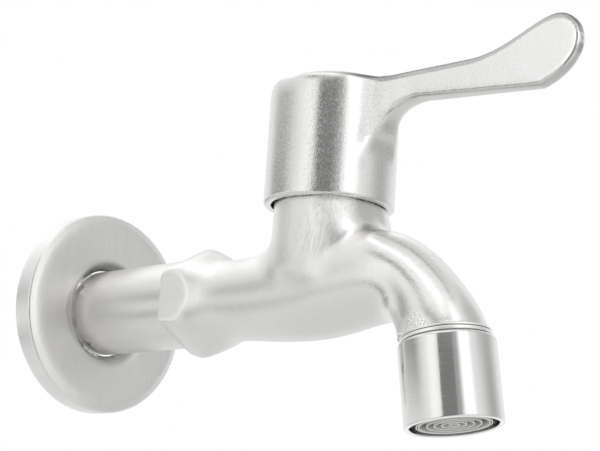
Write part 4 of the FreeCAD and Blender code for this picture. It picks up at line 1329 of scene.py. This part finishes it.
@dataclass
class WallFlange:
    """The pressed cup over the hole in the wall, dished inwards to a raw, torn edge round the pipe."""

    node: str = "wall_flange"
    radius: float = 25.2 * MM
    front: float = 6.0 * MM
    sheet: float = 0.9 * MM
    edge_round: float = 0.8 * MM
    dome_width: float = 3.8 * MM
    dome_drop: float = 0.7 * MM
    hole: float = 10.85 * MM
    dish_foot: float = 14.4 * MM
    dish_depth: float = 1.9 * MM
    burr: float = 0.30 * MM
    # strength of the painted shade in the dish above and below the pipe
    dish_painted_shade: Pair = (1.7, 0.8)
    inner_curve: Sequence[Pair] = ((0.0, 1.0), (0.6, 0.75), (1.5, 0.38), (2.6, 0.12))
    tears: Sequence[Triple] = ((-0.86, 0.5, 1.0), (-0.35, -0.94, 1.5))
    tear_edges: Pair = (0.955, 0.995)
    waves: Sequence[Triple] = ((1.0, 7.0, 0.7), (0.6, 19.0, 4.1))

    def build(self, finish: Finish) -> None:
        """Presses and dresses the flange.

        Args:
            finish: its surface.
        """
        mesh = turned_mesh("pressed_flange", self.outline(), Matrix.Rotation(math.pi / 2, 4, "Y"), 288)
        points = points_of(mesh)
        radius = np.hypot(points[:, 1], points[:, 2])
        # Painted shade in the dish round the hole, strongest above the pipe and weaker below it.
        dish = ramp_mm(radius, 13.6, 12.0) * (points[:, 0] > self.front - self.sheet - self.dish_depth)
        above, below = ramp(points[:, 2] / radius, 0.45, 0.9), ramp(points[:, 2] / radius, -0.5, -0.9)
        add_mark(mesh, Worked.PAINTED_SHADE, dish * (self.dish_painted_shade[0] * above + self.dish_painted_shade[1] * below))
        points += self.raw_edge(points)
        set_points(mesh, points)
        new_piece("pressed_flange", mesh, finish.make(), Body.FLANGE, self.node)

    def outline(self) -> Outline:
        """Lists the cup's section.

        Returns:
            Radius and level of each corner, from the wall round the outside to the inside.
        """
        rim, bend = self.radius, self.edge_round
        top = self.front - self.dome_drop
        spots = [(rim, 0.0), *arc((rim - bend, top - bend), bend, 0.0, 74.0)]
        for share in np.linspace(0.0, 1.0, 13)[1:]:
            rise = self.dome_drop * (1.0 - (1.0 - share) ** 3)
            spots.append((rim - bend - share * self.dome_width, top + rise))
        spots += self.dish()
        back, depth, bend = self.front - self.sheet, self.dish_depth, 0.4 * MM
        spots.append((self.hole, self.front - depth - 0.12 * MM))
        spots += [(self.hole + out * MM, back - share * depth) for out, share in self.inner_curve]
        inner = rim - self.sheet
        spots.append((self.dish_foot + 0.4 * MM, back))
        return [*spots, *arc((inner - bend, back - bend), bend, 90.0, 0.0, 4), (inner, 0.0)]

    def dish(self) -> Outline:
        """Lists the curve that dips from the face's foot to the raw edge of the hole."""
        width = self.dish_foot - self.hole - 0.1 * MM
        return [(self.dish_foot - share * width, self.front - self.dish_depth * share ** 2.0)
                for share in np.linspace(0.0, 1.0, 13)]

    def raw_edge(self, points: Array) -> Array:
        """Makes the hole's cut edge uneven, most where it was torn.

        Args:
            points: the flange's points.

        Returns:
            How far each point moves along the pipe and away from it.
        """
        radius = np.hypot(points[:, 1], points[:, 2])
        share = ramp(radius, self.hole + 0.9 * MM, self.hole + 0.1 * MM)
        share *= ramp(points[:, 0], self.front - 1.35 * self.dish_depth, self.front - 1.1 * self.dish_depth)
        around = points[:, 1:] / radius[:, None]
        rough = np.array([
            sum(high * noise.noise((y * scale, z * scale, seed)) for high, scale, seed in self.waves)
            for y, z in around
        ])
        height = self.burr * (0.3 + np.clip(rough, -0.7, 0.7))
        for y, z, rise in self.tears:
            height += rise * MM * ramp(around @ np.array((y, z)), *self.tear_edges) * (0.75 + 0.5 * rough)
        outward = 0.25 * height + 0.2 * self.burr * np.clip(rough, 0.0, 0.7)
        moved = np.zeros_like(points)
        moved[:, 0] = share * height
        moved[:, 1:] = around * (share * outward)[:, None]
        return moved


@dataclass
class Aerator:
    """The turned sleeve under the spout and the ringed insert in its mouth."""

    radius: float = 10.37 * MM
    length: float = 18.0 * MM
    shoulder_round: float = 0.8 * MM
    edge_round: float = 0.34 * MM
    foot: float = 0.045 * MM
    mouth: float = 9.25 * MM
    mouth_chamfer: float = 0.22 * MM
    bore: float = 9.12 * MM
    lip: float = 1.2 * MM
    ring_radii: Sequence[float] = (7.78 * MM, 7.28 * MM, 5.6 * MM, 4.1 * MM, 2.55 * MM, 1.05 * MM)
    ring_width: float = 0.26 * MM
    ring_level: float = 0.42 * MM
    web_level: float = 2.2 * MM
    back_level: float = 2.5 * MM
    seat_radius: float = 9.02 * MM
    bore_painted_shade: float = 2.6
    seat_painted_shade: float = 0.7

    def build(self, sleeve: Finish, insert: Finish) -> None:
        """Turns and dresses both pieces.

        Args:
            sleeve: the sleeve's surface.
            insert: the insert's surface.
        """
        mesh = turned_mesh("aerator_sleeve", self.sleeve_outline(), mouth_place())
        radius, level = in_mouth(mesh)
        # Painted shade down the bore, and a painted highlight on the sleeve's end face round the mouth.
        inside = (radius < self.mouth + 0.01 * MM) * (level > 0.3 * MM)
        add_mark(mesh, Worked.PAINTED_SHADE, self.bore_painted_shade * inside)
        face = ramp_mm(level, 0.16, 0.06) * (radius > self.mouth + 0.05 * MM)
        add_mark(mesh, Worked.PAINTED_HIGHLIGHT_AND_SCUFF, face)
        new_piece("aerator_sleeve", mesh, sleeve.make(), Body.FIXED, "aerator_shell")
        mesh = turned_mesh("aerator_insert", self.insert_outline(), mouth_place(), 144)
        radius, level = in_mouth(mesh)
        # The insert's ring tops get a painted highlight, and its seat deep in the sleeve painted shade.
        tops = level < self.ring_level + 0.1 * MM
        seat = radius > max(self.ring_radii) + 0.6 * self.ring_width
        add_mark(mesh, Worked.RIDGE_LIGHT_AND_SHADE, 1.0 * tops - self.seat_painted_shade * seat)
        new_piece("aerator_insert", mesh, insert.make(), Body.FIXED, "aerator_grille")

    def sleeve_outline(self) -> Outline:
        """Lists the sleeve's section.

        Returns:
            Radius and level of each corner, from the lower edge up the outside and down the bore.
        """
        shoulder, edge = self.shoulder_round, self.edge_round
        return [
            *arc((self.radius - edge, edge + self.foot), edge, -90.0, 0.0, 6),
            *arc((self.radius - shoulder, self.length - shoulder), shoulder, 0.0, 90.0),
            (self.bore + 0.3 * MM, self.length),
            (self.bore, self.length - 0.3 * MM),
            (self.bore, self.lip + 1.4 * MM),
            (self.mouth, self.lip + 1.3 * MM),
            (self.mouth, self.foot + self.mouth_chamfer),
            (self.mouth + self.mouth_chamfer, self.foot),
        ]

    def insert_outline(self) -> Outline:
        """Lists the insert's section: thin rings on a dished web, and a seat deep in the sleeve.

        Returns:
            Radius and level of each corner, from the back round the front.
        """
        half, bevel, web, top = self.ring_width / 2, 0.05 * MM, self.web_level, self.ring_level
        profile = ((-half, web), (-half, top + bevel), (-half + bevel, top))
        ring = [*profile, *((-aside, level) for aside, level in reversed(profile))]
        spots = [(0.0, self.back_level), (0.0, web)]
        spots += [(radius + aside, level) for radius in sorted(self.ring_radii) for aside, level in ring]
        under = self.back_level - 0.1 * MM
        spots[-1] = (max(self.ring_radii) + half, under)
        return [*spots, (self.seat_radius, under), (self.seat_radius, self.back_level)]


@dataclass
class ValveCasting:
    """The cast body: boss, belly, neck and spout, soft where the mould and the belt left it soft."""

    node: str = "valve_body"
    voxel: float = 0.42 * MM
    boss_end: float = 35.6 * MM
    boss_length: float = 13.5 * MM
    neck_top: float = 23.2 * MM
    skin_wave: float = 0.035 * MM
    skin_wave_length: float = 7 * MM
    skin_grain: float = 0.012 * MM
    skin_grain_length: float = 1.6 * MM
    polish_rounds: int = 5
    rim_rounds: int = 8
    boss_rounds: int = 12
    boss_fill_rounds: int = 60
    boss_fill_step: float = 0.5
    fill_rounds: int = 300
    neck_rounds: int = 24
    neck_radius: float = 12.4 * MM
    squareness: float = 1.3
    shoulder: float = 0.17
    plug: Sequence[Pair] = (
        (0.0, 0.0388), (0.01072, 0.0388), (0.01072, 0.0457), (0.0086, 0.0492), (0.0086, 0.052), (0.0, 0.052),
    )
    ridge: Line = (
        (89.3, -5.3, 16.5, 0.1), (89.7, -4.9, 14.5, 0.5), (90.6, -4.8, 12.9, 0.9), (92.0, -5.0, 11.3, 1.0),
        (94.6, -6.2, 9.7, 1.0), (97.2, -7.2, 8.3, 0.8), (100.0, -7.4, 6.9, 0.4), (103.3, -7.1, 5.0, 0.1),
    )
    ridge_width: float = 2.4
    ridge_height: float = 0.7 * MM
    swell: Sequence[Pair] = (
        (35.6, 0.905), (36.4, 0.945), (37.4, 0.99), (38.6, 1.03), (40.2, 1.062), (42.2, 1.08), (44.4, 1.07),
        (46.8, 1.045), (49.4, 1.012), (52.0, 1.0),
    )
    # points in millimetres, with weights, along which a painted highlight runs down the fold between the neck
    # and the spout
    fold_highlight: Line = (
        (87.6, -8.9, 9.4, 0.5), (89.7, -8.0, 9.0, 1.0), (91.4, -6.8, 10.0, 1.0), (94.0, -7.1, 9.2, 0.7),
    )
    # points of a darker patch by the lower corner of the boss's flat
    smudge: Line = (
        (43.4, -10.7, -5.2, 0.2), (45.2, -10.2, -4.8, 0.8), (47.2, -9.7, -4.4, 0.7), (50.0, -9.2, -4.0, 0.1),
    )
    fold_highlight_width: float = 2.0
    dark_patch_width: float = 0.9
    ring_level: float = 19.45 * MM
    ring_seat: float = 9.2 * MM
    groove_painted_shade: float = 1.7
    ring_outline: Sequence[Pair] = (
        (8.3, 17.6), (9.3, 17.6), (9.3, 18.02), (9.25, 18.04), (9.25, 18.20), (9.62, 18.24), (9.76, 18.38),
        (9.78, 18.77), (9.72, 18.92), (9.58, 19.0), (9.30, 19.02), (9.30, 19.14), (9.60, 19.18), (9.66, 19.32),
        (9.62, 19.56), (9.3, 19.75), (8.3, 19.75),
    )

    def build(self, finish: Finish) -> None:
        """Shapes and dresses the casting and the turned ring at its mouth.

        Args:
            finish: its surface.
        """
        plug = turned_mesh("inlet_plug", self.plug, Matrix.Rotation(math.pi / 2, 4, "Y"), 96)
        clay = Clay(remeshed(self.node, self.voxel, [plug]))
        clay.polish(self.polish_rounds)
        self.swell_boss(clay)
        self.square_neck(clay)
        clay.relax(self.rim_rounds, ramp_mm(clay.points[:, 0] - self.boss_end, 1.2, 0.6))
        clay.relax(self.boss_rounds, self.boss_share(clay.points))
        clay.fill(self.boss_fill_rounds, self.boss_share(clay.points), self.boss_fill_step)
        clay.fill(self.fill_rounds, self.neck_share(clay.points))
        clay.push(self.ridge_height * near_line(clay.points, self.ridge, self.ridge_width))
        clay.relax(self.neck_rounds, self.neck_share(clay.points))
        wave = self.skin_wave * ripple(clay.points, self.skin_wave_length, 3.0)
        grain = self.skin_grain * ripple(clay.points, self.skin_grain_length, 11.0)
        clay.push((wave + grain) * self.free_share(clay.points))
        self.draw_in_spigot(clay)
        clay.keep_inside(*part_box(self.node))
        self.mark_work(clay)
        material = finish.make()
        new_piece("valve_casting", clay.done(), material, Body.FIXED, self.node)
        ring = turned_mesh("spout_ring", [(x * MM, z * MM) for x, z in self.ring_outline], mouth_place())
        # Painted shade in the ring's grooves, and a painted highlight on the rest of the ring.
        groove = ramp_mm(in_mouth(ring)[0], 9.45, 9.35)
        add_mark(ring, Worked.PAINTED_SHADE, self.groove_painted_shade * groove)
        add_mark(ring, Worked.PAINTED_HIGHLIGHT_AND_SCUFF, 1.0 - groove)
        new_piece("spout_ring", ring, material, Body.FIXED)

    def swell_boss(self, clay: Clay) -> None:
        """Makes the boss a soft barrel above and below, and keeps its flats and its socket.

        Args:
            clay: the casting.
        """
        x, y, z = clay.points.T
        places, gains = np.array(self.swell).T
        normals = clay.normals()
        radius = np.maximum(np.hypot(y, z), 1 * MM)
        outward = (normals[:, 1] * y + normals[:, 2] * z) / radius
        rim = ramp_mm(radius, 10.62, 10.9) * (x < self.boss_end + 0.5 * MM)
        gain = np.interp(x / MM, places, gains, 1.0, 1.0) - 1.0
        clay.points[:, 2] += (z + 0.35 * MM) * gain * np.maximum(rim, ramp(outward, 0.0, 0.3))

    def square_neck(self, clay: Clay) -> None:
        """Squares the neck's front corners towards its foot, so that the spout's shoulders climb it.

        Args:
            clay: the casting.
        """
        x, y, z = clay.points.T
        reach, turn = round_handle(clay.points)
        along, aside = np.abs(x - HANDLE_X) / reach, np.abs(y) / reach
        climb = ramp(z, self.neck_top - 2 * MM, 15 * MM) * ramp_mm(z, 5, 12)
        power = 2.0 + self.squareness * climb
        wanted = self.neck_radius / (along ** power + aside ** power) ** (1.0 / power)
        lobe = ramp(turn, 8.0, 22.0) * ramp(turn, 88.0, 26.0)
        wanted *= 1.0 + self.shoulder * lobe * ramp_mm(z, 18, 3)
        front = ramp_mm(x - HANDLE_X, 0.0, 5)
        skin = (reach > self.neck_radius - 0.6 * MM) & (z > 1 * MM) & (z < self.neck_top - 0.5 * MM)
        gain = np.where(skin, np.maximum(1.0 + (wanted / reach - 1.0) * front, 1.0), 1.0)
        clay.points[:, 0] = HANDLE_X + (x - HANDLE_X) * gain
        clay.points[:, 1] = y * gain

    def boss_share(self, points: Array) -> Array:
        """Marks the boss, whose flats run softly into the round, but not its cut end."""
        out = points[:, 0] - self.boss_end
        return ramp_mm(out, 0.8, 3) * ramp_mm(out - self.boss_length, 9, 0)

    def draw_in_spigot(self, clay: Clay) -> None:
        """Draws the clay in under the turned ring and the sleeve, so that only those show.

        Args:
            clay: the casting.
        """
        inward = mouth_place().inverted()
        turn, shift = np.array(inward.to_3x3()), np.array(inward.translation)
        local = clay.points @ turn.T + shift
        radius = np.hypot(local[:, 0], local[:, 1])
        under = (local[:, 2] < self.ring_level) & (radius > self.ring_seat) & (radius < 14 * MM)
        local[under, :2] *= (self.ring_seat / radius[under])[:, None]
        clay.points[under] = (local[under] - shift) @ turn

    def mark_work(self, clay: Clay) -> None:
        """Marks the rubbed spout, the strokes of a file on the neck, the coarse skin inside the bend, and
        painted highlights and painted shade.

        Args:
            clay: the casting.
        """
        x, y, z = clay.points.T
        reach, turn = round_handle(clay.points)
        _, sideways, upright = clay.normals().T
        near = ramp_mm(y, -2, -6)
        clay.mark(Worked.RUBBED, ramp_mm(x - HANDLE_X, 14, 24))
        strokes = ramp_mm(np.abs(x - 86.0 * MM - 0.25 * (z - 12 * MM)), 5.5, 2.0)
        clay.mark(Worked.HATCHED, strokes * ramp_mm(z, 2, 8) * near)
        coarse = ramp_mm(np.hypot(x - 111.6 * MM, 1.2 * (z + 12.5 * MM)), 5.4, 2.0) * near
        clay.mark(Worked.PITTED, coarse)
        # Painted highlights on the rim of the boss's cut end, the neck, the boss's flat, a band on its crown
        # and the fold by the neck; the pitted patch is lightened too.
        rim = ramp_mm(x - self.boss_end, 0.9, 0.5)
        neck = ramp_mm(reach, 24, 14) * ramp_mm(z, 2, 12)
        flat = ramp(np.abs(sideways), 0.95, 0.985) * ramp_mm(x - self.boss_end, 14, 11)
        boss = ramp_mm(np.abs(x - 43.5 * MM), 9, 6)
        crown = ramp(upright, 0.25, 0.5) * ramp(upright, 0.86, 0.72) * boss
        fold_highlight = 0.5 * neck + 0.9 * near_line(clay.points, self.fold_highlight, self.fold_highlight_width)
        clay.mark(Worked.PAINTED_HIGHLIGHT_AND_SCUFF, np.max([rim, 0.8 * neck, flat, crown, fold_highlight, 0.5 * coarse], axis=0))
        # Painted shade in the pocket between the neck and the spout and on the top of the boss's crown, and a
        # darker patch by the flat's lower corner.
        pocket = ramp(turn, 30.0, 14.0) * ramp_mm(reach, 14.6, 13.2) * ramp_mm(z, 10, 14)
        painted_shade_spots = np.maximum(0.6 * pocket, 0.5 * ramp(upright, 0.8, 0.93) * boss)
        clay.mark(Worked.PAINTED_SHADE, np.maximum(painted_shade_spots, near_line(clay.points, self.smudge, self.dark_patch_width)))

    def neck_share(self, points: Array) -> Array:
        """Marks where the neck runs into the belly and, widest on the sides, into the spout.

        Args:
            points: the casting's points.

        Returns:
            A share for each point.
        """
        reach, turn = round_handle(points)
        y, z = points[:, 1], points[:, 2]
        outside = ramp_mm(np.maximum(reach, np.abs(y) * 1.2), 10.7, 11.6)
        height = ramp_mm(z, -5, 1) * ramp_mm(self.neck_top - z, 1.5, 6)
        sides = ramp(turn, 12.0, 30.0) * (1.0 - 0.6 * ramp(turn, 100.0, 135.0))
        return outside * height * ramp_mm(reach, 32, 22) * (0.04 + 0.96 * sides)

    def free_share(self, points: Array) -> Array:
        """Marks the cast skin, away from the cut faces and the bores."""
        out, down = points[:, 0] - self.boss_end, self.neck_top - points[:, 2]
        return ramp_mm(out, 0.5, 2) * ramp_mm(down, 0.5, 2)


@dataclass
class TapHandle:
    """The cap and its lever in one casting."""

    node: str = "handle"
    voxel: float = 0.3 * MM
    skin_wave: float = 0.02 * MM
    skin_wave_length: float = 6 * MM
    polish_rounds: int = 5
    lever_rounds: int = 12
    web_rounds: int = 80
    web_softening: int = 60
    crown_rounds: int = 130
    cap_radius: float = 14.85 * MM
    neck_half: float = 2.7 * MM
    cad_flare: float = 10.0 * MM
    tight_flare: float = 5.0 * MM
    scuff_width: float = 0.28
    scuffs: Sequence[Line] = (
        ((131.3, -1.8, 42.9, 0.6), (132.0, -1.8, 42.0, 1.0), (133.2, -1.8, 40.6, 0.9)),
        ((134.6, -1.8, 39.9, 0.9), (135.6, -1.8, 38.9, 0.7)),
    )

    def build(self, finish: Finish) -> None:
        """Shapes and dresses the handle.

        Args:
            finish: its surface.
        """
        clay = Clay(remeshed(self.node, self.voxel))
        clay.polish(self.polish_rounds)
        self.tighten_flare(clay)
        clay.relax(self.lever_rounds, ramp_mm(clay.points[:, 0] - HANDLE_X, 13, 19))
        clay.fill(self.web_rounds, self.web_share(clay.points))
        clay.relax(self.web_softening, self.web_share(clay.points))
        clay.relax(self.crown_rounds, self.crown_share(clay.points))
        clay.push(self.skin_wave * ripple(clay.points, self.skin_wave_length, 5.0))
        clay.keep_inside(*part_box(self.node))
        self.mark_work(clay)
        new_piece("lever_handle", clay.done(), finish.make(), Body.HANDLE, self.node)

    def flare_half(self, reach: Array, flare: float) -> Array:
        """Works out how far the lever's side stands off its middle where it flares into the cap.

        Args:
            reach: distance from the axis along the lever.
            flare: the flare's radius.

        Returns:
            Half the width for each distance, and 0 inside the cap.
        """
        end = math.sqrt((self.cap_radius + flare) ** 2 - (self.neck_half + flare) ** 2)
        start = end * self.cap_radius / (self.cap_radius + flare)
        back = np.clip(end - reach, 0.0, flare)
        half = self.neck_half + flare - np.sqrt(flare ** 2 - back ** 2)
        return np.where(reach > start, half, 0.0)

    def tighten_flare(self, clay: Clay) -> None:
        """Draws the flare in, so that the cap stays round up to a tight corner.

        Args:
            clay: the handle.
        """
        reach, aside = clay.points[:, 0] - HANDLE_X, np.abs(clay.points[:, 1])
        within = np.sqrt(np.clip(self.cap_radius ** 2 - reach ** 2, 0.0, None)) * (reach < self.cap_radius)
        wide = np.maximum(within, self.flare_half(reach, self.cad_flare))
        lever = ramp_mm(clay.points[:, 2], 33, 39.5)
        tight = wide + (np.maximum(within, self.flare_half(reach, self.tight_flare)) - wide) * lever
        busy = (reach > 0) & (aside > within) & (wide - within > 1e-6)
        gain = (tight[busy] - within[busy]) / (wide[busy] - within[busy])
        moved = within[busy] + (aside[busy] - within[busy]) * gain
        clay.points[busy, 1] = np.sign(clay.points[busy, 1]) * moved

    @staticmethod
    def web_share(points: Array) -> Array:
        """Marks the cove under the lever's root, which runs softly into the cap.

        Args:
            points: the handle's points.

        Returns:
            A share for each point.
        """
        x, z, radius = points[:, 0] - HANDLE_X, points[:, 2], round_handle(points)[0]
        out = ramp_mm(x, 4.0, 8.0) * ramp_mm(radius, 14.6, 15.2)
        under = ramp_mm(z, 24.0, 29.0) * ramp_mm(z, 41.5, 38.5)
        return out * ramp_mm(radius, 30, 20) * under

    @staticmethod
    def crown_share(points: Array) -> Array:
        """Marks the cap's upper edge, which is rounded off by hand."""
        radius, z = round_handle(points)[0], points[:, 2]
        return ramp_mm(radius, 10.5, 12.5) * ramp_mm(radius, 16.5, 15.2) * ramp_mm(z, 42.5, 45.0)

    def mark_work(self, clay: Clay) -> None:
        """Marks the coarse corner at the lever's root, painted shade along its top edge, underside and web, a
        painted highlight on its face, and two scuffs.

        Args:
            clay: the handle.
        """
        reach, z = clay.points[:, 0] - HANDLE_X, clay.points[:, 2]
        upright = clay.normals()[:, 2]
        side = ramp(np.abs(upright), 0.55, 0.25)
        corner = ramp_mm(reach, 12.9, 14.0) * ramp_mm(reach, 25.0, 19.0)
        clay.mark(Worked.COARSE, corner * ramp_mm(z, 31, 34) * side)
        # Painted shade: a dark strip along the lever's top edge, its underside, a thin dark line between face
        # and underside, and the web under its root.
        columns = np.round(reach / (0.5 * MM)).astype(int).clip(0)
        tops = np.full(columns.max() + 1, -1.0)
        np.maximum.at(tops, columns, z)
        strip = ramp_mm(tops[columns] - z, 1.65, 1.4) * ramp_mm(reach, 8, 14)
        strip *= 1.7 + 0.8 * ramp(upright, 0.2, 0.5)
        out = ramp_mm(reach, 20, 26)
        sole = 0.8 * ramp(upright, -0.5, -0.8) * out
        shade_line = 0.9 * ramp(upright, -0.15, -0.25) * ramp(upright, -0.55, -0.4) * out
        web = 0.15 * ramp(upright, -0.05, -0.25) * ramp_mm(reach, 12, 14) * ramp_mm(reach, 26, 20)
        clay.mark(Worked.PAINTED_SHADE, np.max([strip, sole, shade_line, web], axis=0))
        # Painted highlight on the lever's face; the scuffs are real wear.
        face = ramp_mm(reach, 12.5, 15) * side * ramp_mm(z, 30, 34)
        face *= (0.7 + 0.5 * ramp_mm(reach, 18, 26)) * ramp(upright, -0.28, -0.10)
        scuffed = sum(near_line(clay.points, scuff, self.scuff_width) for scuff in self.scuffs)
        clay.mark(Worked.PAINTED_HIGHLIGHT_AND_SCUFF, face + 1.6 * scuffed)


DRESSED = (
    (INNER, "aerator_cage", "aerator_diffuser", "glide_washer"),
    (WOVEN, "aerator_screens"),
    (RUBBER, "aerator_washer", "neck_gasket", "seat_seal", "spindle_o_rings"),
    (BRASS, "cartridge_housing", "spindle", "handle_adaptor"),
    (CERAMIC, "fixed_ceramic_disc", "moving_ceramic_disc"),
    (SPRING, "spindle_circlip", "adaptor_screw", "handle_grub_screw"),
)


def main() -> None:
    """Builds the tap and its studio, piece by piece."""
    logging.basicConfig(level=logging.INFO, format="%(name)s: %(message)s")
    bpy.context.scene.view_settings.view_transform = "Standard"
    Studio().build()
    for finish, *names in DRESSED:
        dress(finish, *names)
    InletNipple().build(PIPE)
    WallFlange().build(FLANGE)
    ValveCasting().build(CASTING)
    TapHandle().build(HANDLE)
    Aerator().build(SHELL, GRILLE)


if __name__ == "__main__":
    main()
